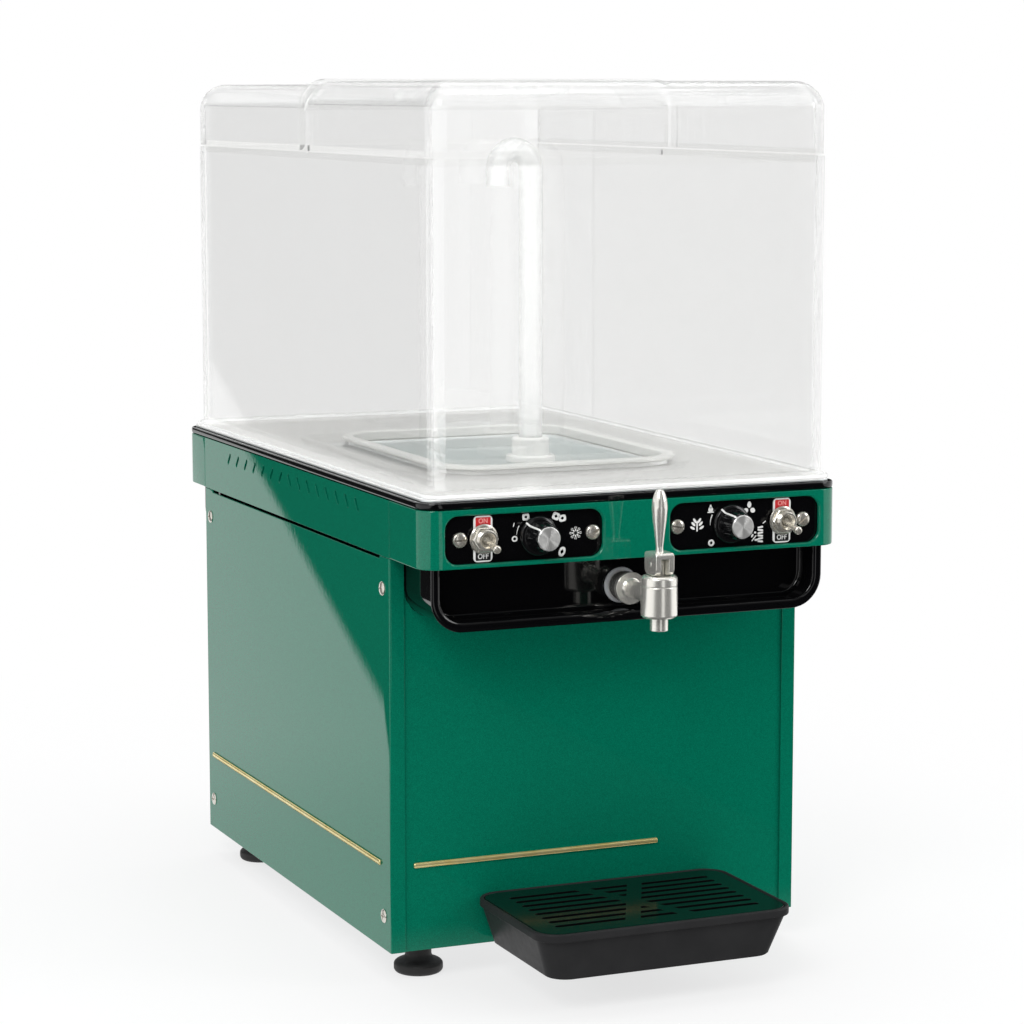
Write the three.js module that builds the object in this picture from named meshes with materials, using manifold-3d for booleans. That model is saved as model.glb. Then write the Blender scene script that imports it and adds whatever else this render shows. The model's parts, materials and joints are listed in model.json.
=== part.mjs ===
// Cold drink dispenser: a painted steel cabinet that carries a chilled well, a clear bowl with a
// two-piece lid, a spray pump, a lever tap and a drip tray. Millimetres, +Z up. X is measured from
// the middle, Y from the cabinet's front face towards the back, Z from the counter.

import * as THREE from 'three';
import { mergeVertices } from 'three/addons/utils/BufferGeometryUtils.js';
import Module from 'manifold-3d';

const wasm = await Module();
wasm.setup();

// Fits
const seatGap = 0.3;
const shaftGap = 0.4;
const overrun = 2;
const weldDistance = 0.0001;

// Facets: divisions of a quarter turn, and sides of round pieces
const cornerFacets = 2;
const largeSides = 20;
const mediumSides = 16;
const tubeSides = 12;
const smallSides = 8;
const pipeSides = 6;

// Cabinet sheet metal
const cabinetWidth = 270;
const cabinetDepth = 355;
const cabinetHeight = 238.3;
const sheet = 1.2;
const returnWidth = 9.4;
const flangeDepth = 24;
const topFlangeDepth = 15;
const grooveHeight = 1.7;
const grooveInset = 16;
const baseSheet = 1.5;
const baseFlange = 14;
const baseVentWidth = 5;
const baseVentLength = 150;
const baseVentPitch = 10;
const baseVentCount = 4;

// Rear panel: louvres and the gland hole
const louvreWidth = 78;
const louvreHeight = 9;
const louvreDepth = 5;
const louvrePitch = 18;
const louvreRows = 6;
const louvreColumnX = 52;
const louvreBottom = 95;
const glandInset = 37;
const glandHeight = 30;
const glandHoleDiameter = 16;
const glandDiameter = 22;
const glandBore = 8;
const glandRim = 2.5;

// Feet
const footHeight = 20;
const footDiameter = 30;
const footPadHeight = 7;
const footEdge = 1.5;
const footNeckDiameter = 16;
const footStudDiameter = 8;
const footStudLength = 10;
const footInsetX = 27.5;
const footInsetFront = 26;
const footInsetRear = 31;

// Collar: front fascia, side bands, rear fascia
const collarHeight = 34.3;
const collarFrontReach = 54;
const collarRearReach = 40.5;
const collarCorner = 13;
const fasciaThickness = 3;
const bandThickness = 1.5;
const ventSlotWidth = 2.6;
const ventSlotLength = 9.5;
const ventSlotPitch = 17.6;
const ventSlotCount = 15;
const ventSlotLeanDegrees = 40;
const ventSlotDrop = 9;

// Tub
const tubDrop = 36.3;
const tubSideGap = 0.6;
const tubFrontReach = 46.6;
const tubRearReach = 33.8;
const tubCorner = 18;
const tubWall = 3;
const dishDepth = 16.6;
const dishLip = 4;
const lipFlare = 2;
const rimThickness = 4.1;
const rimEdge = 1.3;

// Deck with the pressed well
const deckInset = 3;
const wellSheet = 1.2;
const wellWidth = 146;
const wellLength = 196;
const wellCentreY = 145;
const wellCorner = 24;
const wellDepth = 67.5;
const wellFillet = 8;
const spigotDiameter = 14;
const drainBore = 9.5;
const spigotLength = 18;

// Evaporator coil
const coilPipe = 8;
const coilGap = 1;
const coilPitch = 14;
const coilTurns = 2.5;
const coilDrop = 46;
const coilTailOffset = 14;
const coilTailReach = 7;

// Seal round the well
const sealThickness = 3;
const sealLip = 4.5;
const sealLipHeight = 2.6;
const sealClearOfWell = 1;

// Bowl
const bowlInsetX = 7.4;
const bowlInsetFront = 4;
const bowlInsetRear = 7.5;
const bowlHeight = 193.2;
const bowlWall = 3.6;
const bowlFloor = 3;
const bowlCorner = 10;
const bowlFlange = 4;
const bowlFlangeHeight = 2.4;

// Lids
const lidHeight = 43;
const lidStep = 2;
const lidWall = 3;
const lidEdge = 12;
const lidSeamShare = 0.5;
const lidSeamGap = 0.5;
const lidFootHeight = 3.4;
const lidLipDepth = 6;
const lidLipThickness = 2.4;
const lidEndRib = 13;
const lidBandWidth = 11;
const lidBandProud = 1.5;

// Spray pump
const pumpY = 103;
const spindleDiameter = 5;
const spindleHeight = 15;
const impellerDiameter = 44;
const impellerBase = 5;
const impellerHeight = 13;
const impellerHub = 12;
const vaneThickness = 2;
const vaneCount = 6;
const coverDiameter = 60;
const coverHeight = 19;
const coverWall = 2.5;
const coverPortWidth = 16;
const coverPortHeight = 6;
const riserDiameter = 20;
const riserFlangeDiameter = 31;
const riserFlangeHeight = 4;
const riserCapDiameter = 23.5;
const riserCapRise = 15.5;
const sprayTubeDiameter = 15;
const sprayTubeBore = 11;
const sprayTubeSeat = 9;
const sprayTubeTop = 482;
const hookRadius = 11;
const hookDrop = 11;

// Pump drive
const magnetDiameter = 44;
const magnetThickness = 6;
const magnetHoleDiameter = 60;
const motorFlangeDiameter = 84;
const motorFlangeThickness = 2.5;
const motorDiameter = 56;
const motorHeight = 46;
const motorShaftDiameter = 5;
const motorBoss = 3;

// Cooling machinery
const condenserWidth = 186;
const condenserDepth = 40;
const condenserHeight = 122;
const condenserInset = 14;
const finPitch = 20;
const finThickness = 1;
const condenserCoreDepth = 14;
const condenserRows = 4;
const condenserPipe = 8;
const condenserBendShare = 0.25;
const shroudOpening = 116;
const shroudRing = 6;
const fanDiameter = 108;
const fanHubDiameter = 32;
const fanHubDepth = 14;
const fanBladeChord = 34;
const fanBladeRootChord = 17;
const fanBladeTrim = 7;
const fanBladeThickness = 2;
const fanBladePitchDegrees = 28;
const fanBladeCount = 5;
const fanClearance = 4;
const fanMotorDiameter = 50;
const fanMotorLength = 34;
const fanMotorShaft = 5;
const fanBracketWidth = 30;
const fanBracketFoot = 26;
const compressorX = 44;
const compressorInsetRear = 96;
const compressorDiameter = 108;
const compressorHeight = 128;
const compressorSeam = 3;
const compressorSeamShare = 0.55;
const compressorFootShare = 0.72;
const compressorBellyShare = 0.98;
const compressorFootRiseShare = 0.4;
const compressorDomeShare = 0.75;
const terminalRise = 32;
const compressorPlate = 114;
const compressorPlateThickness = 3;
const compressorGrommet = 9;
const compressorGrommetDiameter = 20;
const stubDiameter = 10;
const stubLength = 7;
const stubOffsetX = 22;
const linePipe = 7;
const lineBend = 10.5;
const lineClearance = 14;
const dischargeSlope = 28;
const dischargeInset = 42;
const lineSteps = 12;
const dischargeHeight = 76;
const drierDiameter = 20;
const drierLength = 70;
const drierRise = 46;
const drierInset = 31;
const drierY = 190;

// Control plates, measured from the middle of each plate; "outwards" is away from the tap
const plateEdgeRoom = 14.1;
const plateTapRoom = 21.8;
const plateDrop = 17.75;
const windowHeight = 28;
const windowCorner = 8;
const windowBevel = 1.4;
const plateMargin = 2;
const plateThickness = 1.5;
const toggleOffset = 25.5;
const knobOffset = -8.9;

// Toggle switches
const toggleBodyWidth = 13;
const toggleBodyHeight = 21;
const toggleBodyDepth = 15;
const bushingDiameter = 12;
const bushingLength = 9;
const togglePlateRoom = 1.4;
const ringDiameter = 17.6;
const ringThickness = 1.6;
const hexFlats = 14;
const hexThickness = 2.6;
const batPivotDepth = 4;
const batBallDiameter = 5;
const batRootDiameter = 3;
const batTipDiameter = 5;
const batLength = 18;
const batTiltDegrees = 12;

// Rotary controls
const rotaryDiameter = 26;
const rotaryDepth = 14;
const rotaryBushing = 9;
const rotaryShaft = 6;
const rotaryShaftLength = 12;
const knobSkirtDiameter = 23.5;
const knobSkirtThickness = 3;
const knobStandOff = 1;
const knobBodyDiameter = 18;
const knobFlute = 0.9;
const knobFluteCount = 10;
const knobHeight = 16.5;
const knobCapDiameter = 14;
const knobCapRecess = 0.8;
const knobCapProud = 0.9;
const knobBoreDepth = 11;

// Tap
const tapRise = 17;
const tapReach = 53.5;
const tapShankDiameter = 14;
const tapShankLength = 28;
const gasketDiameter = 21.5;
const gasketThickness = 2;
const tapNutDiameter = 18.5;
const tapNutLength = 10.4;
const tapNutChamfer = 1;
const tapFlangeDiameter = 19.3;
const tapFlangeThickness = 2.6;
const tapFlangeChamfer = 0.8;
const tapNeckDiameter = 10;
const barrelDiameter = 21.4;
const barrelTop = 13.4;
const barrelBottom = 11.3;
const barrelEdge = 1.2;
const barrelGroove = 0.4;
const barrelGrooveDrop = 6;
const outletDiameter = 10.5;
const outletLength = 7.8;
const outletBore = 7;
const chamberDiameter = 14;
const chamberFloor = 4;
const chamberRoof = 4;
const inletBore = 7;
const stemDiameter = 6;
const stemFlats = 4.4;
const plugDiameter = 11;
const plugHeight = 3.5;
const pinRise = 6.6;
const pinDiameter = 3;
const tongueRadius = 2.8;
const stemFlatDepth = 9.6;
const leverBlockWidth = 11.6;
const leverBlockDepth = 16;
const leverBlockRise = 7;
const leverBlockCorner = 4.5;
const leverSlotWidth = 5;
const leverSlotRise = 3.6;
const leverRodLength = 36.5;
const leverHeightShares = [0.1, 0.4, 0.62, 0.72, 0.85];
const leverRadiusShares = [0.52, 0.76, 0.95, 1, 0.86];
const leverRootDiameter = 4.8;
const leverGripDiameter = 9.3;
const leverTipDiameter = 4;

// Drain tube between the well's spigot and the tap's shank
const drainTubeDiameter = 18.4;
const drainTubeOverlap = 10;
const drainTubeRoom = 1.4;

// Drip tray
const trayRimHalf = 82.5;
const trayRimFront = 104.5;
const trayRimHeight = 5;
const trayRimProud = 2.5;
const trayTop = 51.5;
const trayBottom = 21.8;
const trayBottomHalf = 72.5;
const trayBottomFront = 97;
const trayCorner = 13;
const trayWall = 2.4;
const trayLedge = 3;
const grilleThickness = 3;
const grilleGap = 0.5;
const grilleSlotWidth = 4;
const grilleSlotPitch = 9.6;
const grilleSlotRows = 8;
const grilleSlotHalfLength = 66;
const grilleCrossHalfWidth = 21;
const grilleCrossBand = 9;
const bracketSheet = 1.5;
const bracketArmWidth = 22;
const bracketArmX = 42;
const bracketReach = 84;
const bracketRoot = 72;
const bracketBar = 18;

// Gold strips
const stripHeight = 3.2;
const stripThickness = 1;
const stripCentre = 72.3;
const stripFrontInset = 15.2;
const stripFrontRoom = 93.9;
const stripSideFrontInset = 16;
const stripSideRearInset = 12;

// Levels and places that follow from the sizes above
const half = cabinetWidth / 2;
const glandX = glandInset - half;
const drierX = drierInset - half;
const windowWidth = half - plateEdgeRoom - plateTapRoom;
const plateOffset = plateTapRoom + windowWidth / 2;
const panelInset = sheet + seatGap;
const panelFace = panelInset;
const innerInset = 2 * panelInset;
const collarBottom = footHeight + cabinetHeight;
const collarTop = collarBottom + collarHeight;
const collarFront = -collarFrontReach;
const collarRear = cabinetDepth + collarRearReach;
const collarLength = collarRear - collarFront;
const collarCentreY = (collarRear + collarFront) / 2;
const tubBottom = collarBottom - tubDrop;
const tubHalf = half - returnWidth - tubSideGap;
const tubFront = -tubFrontReach;
const tubRear = cabinetDepth + tubRearReach;
const dishFace = tubFront + dishDepth;
const panelTop = tubBottom - lipFlare - seatGap;
const rimBottom = collarTop + seatGap;
const rimTop = rimBottom + rimThickness;
const deckBottom = rimTop + seatGap;
const deckTop = deckBottom + wellSheet;
const wellFloorTop = deckTop - wellDepth;
const wellFloorBottom = wellFloorTop - wellSheet;
const wellFront = wellCentreY - wellLength / 2;
const bowlBottom = deckTop + seatGap;
const bowlFloorTop = bowlBottom + bowlFloor;
const bowlTop = bowlBottom + bowlHeight;
const bowlWidth = cabinetWidth - 2 * bowlInsetX;
const bowlFront = collarFront + bowlInsetFront;
const bowlRear = collarRear - bowlInsetRear;
const bowlLength = bowlRear - bowlFront;
const bowlCentreY = (bowlRear + bowlFront) / 2;
const lidBottom = bowlTop + seatGap;
const lidSeamY = bowlFront + bowlLength * lidSeamShare;
const baseTop = footHeight + baseSheet;
const machineFloor = baseTop + seatGap;
const tapHeight = tubBottom + tapRise;
const tapY = dishFace - tapReach;
const trayRear = panelFace - seatGap;
const trayFront = -trayRimFront;
const partCentreY = (trayFront + collarRear) / 2;

// Materials
function finish(color, roughness, metalness) {
  return new THREE.MeshStandardMaterial({ color, roughness, metalness });
}
const greenPaint = finish(0x006a50, 0.22, 0.35);
const galvanised = finish(0x9aa0a2, 0.5, 0.8);
const glossBlack = finish(0x060607, 0.12, 0);
const satinSteel = finish(0xc4c4bd, 0.3, 1);
const whitePlastic = finish(0xf2f2ef, 0.4, 0);
const clearPlastic = finish(0xe6e9e8, 0.05, 0);
const trayPlastic = finish(0x2a2a2b, 0.45, 0);
const blackRubber = finish(0x151515, 0.8, 0);
const paleRubber = finish(0xd9dde0, 0.6, 0);
const goldBrass = finish(0xc8a546, 0.18, 1);
const copper = finish(0xb87348, 0.35, 1);
const foam = finish(0xe8dfb8, 0.9, 0);
const blackEnamel = finish(0x101012, 0.45, 0.2);
const aluminium = finish(0xd6d8da, 0.35, 1);
const magnetGrey = finish(0x3b3d40, 0.6, 0.3);

// Solids: three.js shapes become closed bodies here, and the cuts and joins are made on them

function solid(shape) {
  if (shape instanceof wasm.Manifold) return shape;
  const bare = shape.clone();
  bare.deleteAttribute('normal');
  bare.deleteAttribute('uv');
  const merged = mergeVertices(bare);
  const position = merged.attributes.position.array;
  const index = merged.index.array;
  const triangles = [];
  let volume = 0;
  const corner = [new THREE.Vector3(), new THREE.Vector3(), new THREE.Vector3()];
  for (let i = 0; i < index.length; i += 3) {
    const [a, b, c] = [index[i], index[i + 1], index[i + 2]];
    if (a === b || b === c || c === a) continue;
    triangles.push(a, b, c);
    [a, b, c].forEach((v, k) => corner[k].fromArray(position, 3 * v));
    volume += corner[0].dot(corner[1].clone().cross(corner[2]));
  }
  if (volume < 0) triangles.reverse();
  const mesh = new wasm.Mesh({
    numProp: 3,
    vertProperties: new Float32Array(position),
    triVerts: new Uint32Array(triangles),
  });
  return new wasm.Manifold(mesh);
}

function join(first, ...others) {
  return others.reduce((body, other) => body.add(solid(other)), solid(first));
}

function cut(first, ...tools) {
  return tools.reduce((body, tool) => body.subtract(solid(tool)), solid(first));
}

function common(first, second) {
  return solid(first).intersect(solid(second));
}

function geometryOf(body) {
  const mesh = body.getMesh();
  const geometry = new THREE.BufferGeometry();
  geometry.setAttribute('position', new THREE.BufferAttribute(new Float32Array(mesh.vertProperties), 3));
  geometry.setIndex(new THREE.BufferAttribute(new Uint32Array(mesh.triVerts), 1));
  geometry.computeVertexNormals();
  return geometry;
}

const model = new THREE.Group();
model.position.y = -partCentreY;

function addPiece(name, shape, material, parent = model) {
  const piece = new THREE.Mesh(geometryOf(solid(shape)), material);
  piece.name = name;
  parent.add(piece);
  return piece;
}

function addGroup(x, y, z, parent = model) {
  const group = new THREE.Group();
  group.position.set(x, y, z);
  parent.add(group);
  return group;
}

// Shapes used all over

function block(x0, x1, y0, y1, z0, z1) {
  const box = new THREE.BoxGeometry(x1 - x0, y1 - y0, z1 - z0);
  return box.translate((x0 + x1) / 2, (y0 + y1) / 2, (z0 + z1) / 2);
}

function roundedRect(width, length, radius, x = 0, y = 0) {
  const [w, l, r] = [width / 2, length / 2, radius];
  const shape = new THREE.Shape();
  shape.absarc(x + w - r, y + l - r, r, 0, Math.PI / 2, false);
  shape.absarc(x - w + r, y + l - r, r, Math.PI / 2, Math.PI, false);
  shape.absarc(x - w + r, y - l + r, r, Math.PI, 1.5 * Math.PI, false);
  shape.absarc(x + w - r, y - l + r, r, 1.5 * Math.PI, 2 * Math.PI, false);
  shape.closePath();
  return shape;
}

// A slot along X with pointed ends
function slotShape(length, width, x = 0, y = 0) {
  const [a, b, c] = [length / 2, length / 2 - width / 2, width / 2];
  const corners = [[a, 0], [b, c], [-b, c], [-a, 0], [-b, -c], [b, -c]];
  return new THREE.Shape(corners.map(([u, v]) => new THREE.Vector2(x + u, y + v)));
}

function slab(shape, z0, z1, facets = cornerFacets) {
  const options = { depth: z1 - z0, bevelEnabled: false, curveSegments: facets };
  return new THREE.ExtrudeGeometry(shape, options).translate(0, 0, z0);
}

// A slab whose long edges, top and bottom, are rounded by edge
function softSlab(width, length, radius, x, y, z0, z1, edge, facets = cornerFacets) {
  const shape = roundedRect(width - 2 * edge, length - 2 * edge, Math.max(radius - edge, edge / 4), x, y);
  const options = {
    depth: z1 - z0 - 2 * edge,
    bevelEnabled: true,
    bevelSize: edge,
    bevelThickness: edge,
    bevelSegments: facets,
    curveSegments: facets,
  };
  return new THREE.ExtrudeGeometry(shape, options).translate(0, 0, z0 + edge);
}

// An outline drawn in X and Z, carried along Y
function slabAlongY(shape, y0, y1, facets = cornerFacets) {
  return slab(shape, -y1, -y0, facets).rotateX(Math.PI / 2);
}

// An outline drawn in Y and Z, carried along X
function slabAlongX(shape, x0, x1, facets = cornerFacets) {
  return slab(shape, x0, x1, facets).rotateX(Math.PI / 2).rotateZ(Math.PI / 2);
}

function turned(profile, sides = mediumSides) {
  const points = profile.map(([radius, height]) => new THREE.Vector2(radius, height));
  return new THREE.LatheGeometry(points, sides).rotateX(Math.PI / 2);
}

function rod(diameter, z0, z1, sides = mediumSides) {
  return turned([[0, z0], [diameter / 2, z0], [diameter / 2, z1], [0, z1]], sides);
}

// Turns a piece built along +Z so that it points to the front
function facingFront(geometry) {
  return geometry.rotateX(Math.PI / 2);
}

function outline(shape, facets = cornerFacets) {
  const points = shape.getPoints(facets);
  return points.filter((spot, i) => spot.distanceTo(points[(i + 1) % points.length]) > weldDistance);
}

// A closed skin through outlines with equally many points, each at its own height
function loft(sections) {
  const count = sections[0].points.length;
  const positions = sections.flatMap(({ points, z }) => points.flatMap((spot) => [spot.x, spot.y, z]));
  const index = [];
  for (let s = 0; s + 1 < sections.length; s += 1) {
    for (let i = 0; i < count; i += 1) {
      const next = (i + 1) % count;
      const [a, b, c, d] = [s * count + i, s * count + next, (s + 1) * count + next, (s + 1) * count + i];
      index.push(a, b, c, a, c, d);
    }
  }
  const last = (sections.length - 1) * count;
  for (const [a, b, c] of THREE.ShapeUtils.triangulateShape(sections[0].points, [])) {
    index.push(c, b, a, last + a, last + b, last + c);
  }
  const geometry = new THREE.BufferGeometry();
  geometry.setAttribute('position', new THREE.Float32BufferAttribute(positions, 3));
  geometry.setIndex(index);
  return geometry;
}

// A round pipe along a smooth curve or a chain of straights and bends
function pipe(curve, diameter, steps, sides = pipeSides) {
  const section = new THREE.Shape();
  section.absarc(0, 0, diameter / 2, 0, 2 * Math.PI, false);
  const options = { steps, extrudePath: curve, curveSegments: sides / 2, bevelEnabled: false };
  return new THREE.ExtrudeGeometry(section, options);
}

// A chain of straight runs with its corners rounded by bend
function bentPath(points, bend) {
  const path = new THREE.CurvePath();
  let start = points[0];
  for (let i = 1; i < points.length; i += 1) {
    const corner = points[i];
    if (i === points.length - 1) {
      path.add(new THREE.LineCurve3(start, corner));
      break;
    }
    const before = corner.clone().sub(points[i - 1]);
    const after = points[i + 1].clone().sub(corner);
    const reach = Math.min(bend, before.length() / 2, after.length() / 2);
    const entry = corner.clone().addScaledVector(before.normalize(), -reach);
    const exit = corner.clone().addScaledVector(after.normalize(), reach);
    path.add(new THREE.LineCurve3(start, entry));
    path.add(new THREE.QuadraticBezierCurve3(entry, corner, exit));
    start = exit;
  }
  return path;
}

function point(x, y, z) {
  return new THREE.Vector3(x, y, z);
}

// Base plate: a pan with its edges turned up, vent slots under the condenser, holes for the feet

function footPlaces() {
  const [x, front, rear] = [half - footInsetX, footInsetFront, cabinetDepth - footInsetRear];
  return [
    ['front_left', -x, front], ['front_right', x, front], ['rear_left', -x, rear], ['rear_right', x, rear],
  ];
}

function basePlate() {
  const [x, y0, y1] = [half - innerInset, innerInset, cabinetDepth - innerInset];
  const pan = block(-x, x, y0, y1, footHeight, baseTop + baseFlange);
  const inside = block(-x + baseSheet, x - baseSheet, y0 + baseSheet, y1 - baseSheet, baseTop,
    baseTop + baseFlange + overrun);
  const holes = footPlaces().map(([, footX, footY]) => rod(footStudDiameter + 2 * shaftGap,
    footHeight - overrun, baseTop + overrun, smallSides).translate(footX, footY, 0));
  const ventY = condenserInset + condenserDepth / 2;
  const vents = [];
  for (let i = 0; i < baseVentCount; i += 1) {
    const y = ventY + (i - (baseVentCount - 1) / 2) * baseVentPitch;
    vents.push(slab(slotShape(baseVentLength, baseVentWidth, 0, y), footHeight - overrun, baseTop + overrun));
  }
  return cut(pan, inside, ...holes, ...vents);
}

function foot() {
  const [r, neck, stud] = [footDiameter / 2, footNeckDiameter / 2, footStudDiameter / 2];
  const neckTop = footHeight - seatGap;
  return turned([
    [0, 0], [r - footEdge, 0], [r, footEdge], [r, footPadHeight - footEdge],
    [r - footEdge, footPadHeight],
    [neck, footPadHeight + 2 * footEdge], [neck, neckTop], [stud, neckTop], [stud, baseTop + footStudLength],
    [0, baseTop + footStudLength],
  ], tubeSides);
}

// Side panels: folded round the front and rear edges, with a shadow groove under the collar

function sidePanel(side) {
  const shape = new THREE.Shape();
  const [outer, inner, lip] = [side * half, side * (half - sheet), side * (half - returnWidth)];
  shape.moveTo(lip, 0);
  shape.lineTo(outer - side * sheet, 0);
  shape.quadraticCurveTo(outer, 0, outer, sheet);
  shape.lineTo(outer, cabinetDepth - sheet);
  shape.quadraticCurveTo(outer, cabinetDepth, outer - side * sheet, cabinetDepth);
  shape.lineTo(lip, cabinetDepth);
  shape.lineTo(lip, cabinetDepth - sheet);
  shape.lineTo(inner, cabinetDepth - sheet);
  shape.lineTo(inner, sheet);
  shape.lineTo(lip, sheet);
  shape.closePath();
  const top = collarBottom - seatGap;
  const panel = slab(shape, footHeight, top, cornerFacets);
  const groove = block(-half - overrun, half + overrun, grooveInset, cabinetDepth - grooveInset,
    top - grooveHeight, top + overrun);
  return cut(panel, groove);
}

// Front and rear panels: folded back behind the side panels, with a flange under the tub
// and an ear that fills the corner beside each round lower edge of the tub

function panelEars() {
  const [inner, outer] = [tubHalf - tubCorner, half - panelInset];
  const ears = [-1, 1].map((side) => block(
    Math.min(side * inner, side * outer), Math.max(side * inner, side * outer),
    panelFace, panelFace + sheet, panelTop - sheet, tubBottom + tubCorner));
  const room = slabAlongY(tubSection(-seatGap, rimTop), panelFace - overrun, panelFace + sheet + overrun);
  return ears.map((ear) => cut(ear, room));
}

function endPanel() {
  const x = half - panelInset;
  const face = block(-x, x, panelFace, panelFace + sheet, footHeight, panelTop);
  const top = block(-x + flangeDepth, x - flangeDepth, panelFace, panelFace + topFlangeDepth,
    panelTop - sheet, panelTop);
  const flanges = [-1, 1].map((side) => block(
    Math.min(side * x, side * (x - sheet)), Math.max(side * x, side * (x - sheet)),
    panelFace, panelFace + flangeDepth, footHeight, panelTop));
  return join(face, top, ...flanges, ...panelEars());
}

// One hood of the rear louvres, pressed outwards and open at its lower edge
function louvreOutline(grow) {
  const shape = new THREE.Shape();
  const depth = louvreDepth - grow;
  shape.moveTo(-sheet - grow * overrun, 0);
  shape.lineTo(depth, 0);
  shape.lineTo(-sheet - grow * overrun, (louvreHeight - grow) * (1 + sheet / louvreDepth));
  shape.closePath();
  return shape;
}

function rearPanel() {
  const panel = solid(geometryOf(solid(endPanel())).rotateZ(Math.PI).translate(0, cabinetDepth, 0));
  const rearFace = cabinetDepth - panelFace;
  const hoods = [];
  const throats = [];
  for (let row = 0; row < louvreRows; row += 1) {
    for (const column of [-louvreColumnX, louvreColumnX]) {
      const z = louvreBottom + row * louvrePitch;
      const place = (geometry) => geometry.translate(column, rearFace, z);
      hoods.push(place(slabAlongX(louvreOutline(0), -louvreWidth / 2, louvreWidth / 2)));
      const inner = slabAlongX(louvreOutline(sheet), -louvreWidth / 2 + sheet, louvreWidth / 2 - sheet);
      throats.push(place(inner.translate(0, 0, -sheet / 4)));
    }
  }
  const gland = rod(glandHoleDiameter, -overrun, sheet + overrun, smallSides);
  const glandHole = facingFront(gland).translate(glandX, rearFace, footHeight + glandHeight);
  return cut(join(panel, ...hoods), ...throats, glandHole);
}

function cableGland() {
  const [rim, neck, bore] = [glandDiameter / 2, glandHoleDiameter / 2 - seatGap, glandBore / 2];
  const [inside, outside] = [-glandRim - seatGap - sheet, glandRim + seatGap];
  const profile = [
    [bore, inside], [rim - glandRim / 2, inside], [rim, inside + glandRim / 2], [rim, inside + glandRim],
    [neck, inside + glandRim], [neck, seatGap], [rim, seatGap], [rim, outside - glandRim / 2],
    [rim - glandRim / 2, outside], [bore, outside], [bore, inside],
  ];
  return facingFront(turned(profile, smallSides)).rotateZ(Math.PI);
}

// Collar: front and rear fascias are U-shaped in plan, the side bands carry slanted slots

function fasciaOutline(reach, wall) {
  const [x, r] = [half - wall, collarCorner - wall];
  const far = reach - wall;
  const shape = new THREE.Path();
  shape.moveTo(x, 0);
  shape.lineTo(x, far - r);
  shape.absarc(x - r, far - r, r, 0, Math.PI / 2, false);
  shape.absarc(-x + r, far - r, r, Math.PI / 2, Math.PI, false);
  shape.lineTo(-x, 0);
  return shape.getPoints(cornerFacets);
}

function fascia(reach) {
  const points = [...fasciaOutline(reach, 0), ...fasciaOutline(reach, fasciaThickness).reverse()];
  return slab(new THREE.Shape(points), collarBottom, collarTop);
}

// The window of a control plate, wider at the front where its edge is bevelled
function controlWindow(side) {
  const section = (grow, z) => ({
    points: outline(roundedRect(windowWidth + 2 * grow, windowHeight + 2 * grow, windowCorner + grow)),
    z,
  });
  const bevelled = loft([
    section(0, -fasciaThickness - overrun), section(0, -fasciaThickness / 2),
    section(windowBevel, 0), section(windowBevel, overrun),
  ]);
  return facingFront(bevelled).translate(side * plateOffset, collarFront, collarTop - plateDrop);
}

function collarFrontPiece() {
  const ring = geometryOf(solid(fascia(collarFrontReach))).rotateZ(Math.PI);
  return cut(ring, controlWindow(-1), controlWindow(1));
}

function collarRearPiece() {
  return fascia(collarRearReach).translate(0, cabinetDepth, 0);
}

function ventBand(side) {
  const [a, b] = [side * half, side * (half - bandThickness)];
  const band = block(Math.min(a, b), Math.max(a, b), seatGap, cabinetDepth - seatGap,
    collarBottom, collarTop);
  const slots = [];
  for (let i = 0; i < ventSlotCount; i += 1) {
    const step = i - (ventSlotCount - 1) / 2;
    const lean = THREE.MathUtils.degToRad(step > 0 ? ventSlotLeanDegrees : -ventSlotLeanDegrees);
    const slot = slab(slotShape(ventSlotLength, ventSlotWidth), -half - overrun, half + overrun);
    slot.rotateY(Math.PI / 2).rotateX(lean);
    slots.push(slot.translate(0, cabinetDepth / 2 + step * ventSlotPitch, collarTop - ventSlotDrop));
  }
  return cut(band, ...slots);
}

// Tub: a black moulding with round lower edges, a dished front and a rim over the collar

function tubSection(inset, top) {
  const [x, z0, r] = [tubHalf - inset, tubBottom + inset, Math.max(tubCorner - inset, tubWall)];
  const shape = new THREE.Shape();
  shape.moveTo(x, top);
  shape.lineTo(-x, top);
  shape.absarc(-x + r, z0 + r, r, Math.PI, 1.5 * Math.PI, false);
  shape.absarc(x - r, z0 + r, r, 1.5 * Math.PI, 2 * Math.PI, false);
  shape.closePath();
  return shape;
}

function tub() {
  const shell = slabAlongY(tubSection(0, rimTop - rimEdge), tubFront, tubRear);
  const lip = slabAlongY(tubSection(-lipFlare, rimBottom + rimEdge), tubFront, tubFront + dishLip);
  const rim = softSlab(cabinetWidth, collarLength, collarCorner, 0, collarCentreY,
    rimBottom, rimTop, rimEdge);
  const dish = slabAlongY(tubSection(dishLip, rimBottom), tubFront - overrun, dishFace);
  const cavity = slabAlongY(tubSection(tubWall, rimTop + overrun), dishFace + tubWall, tubRear - tubWall);
  const tapHole = facingFront(rod(tapShankDiameter + 2 * shaftGap, -dishFace - tubWall - overrun,
    -dishFace + overrun)).translate(0, 0, tapHeight);
  const magnetHole = rod(magnetHoleDiameter, tubBottom - overrun, tubBottom + tubWall + overrun);
  magnetHole.translate(0, pumpY, 0);
  return cut(join(shell, lip, rim), dish, cavity, tapHole, magnetHole, ...coilTailHoles());
}

function coilOffset() {
  return wellSheet + coilGap + coilPipe / 2;
}

// Where the two ends of the coil come down: right of the well at the back, left of it at the front
function coilTails() {
  const x = wellWidth / 2 + coilOffset();
  const y = wellLength / 2 - wellCorner;
  return [[x, wellCentreY + y - coilTailOffset], [-x - coilTailOffset, wellCentreY - y - coilTailOffset]];
}

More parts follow.
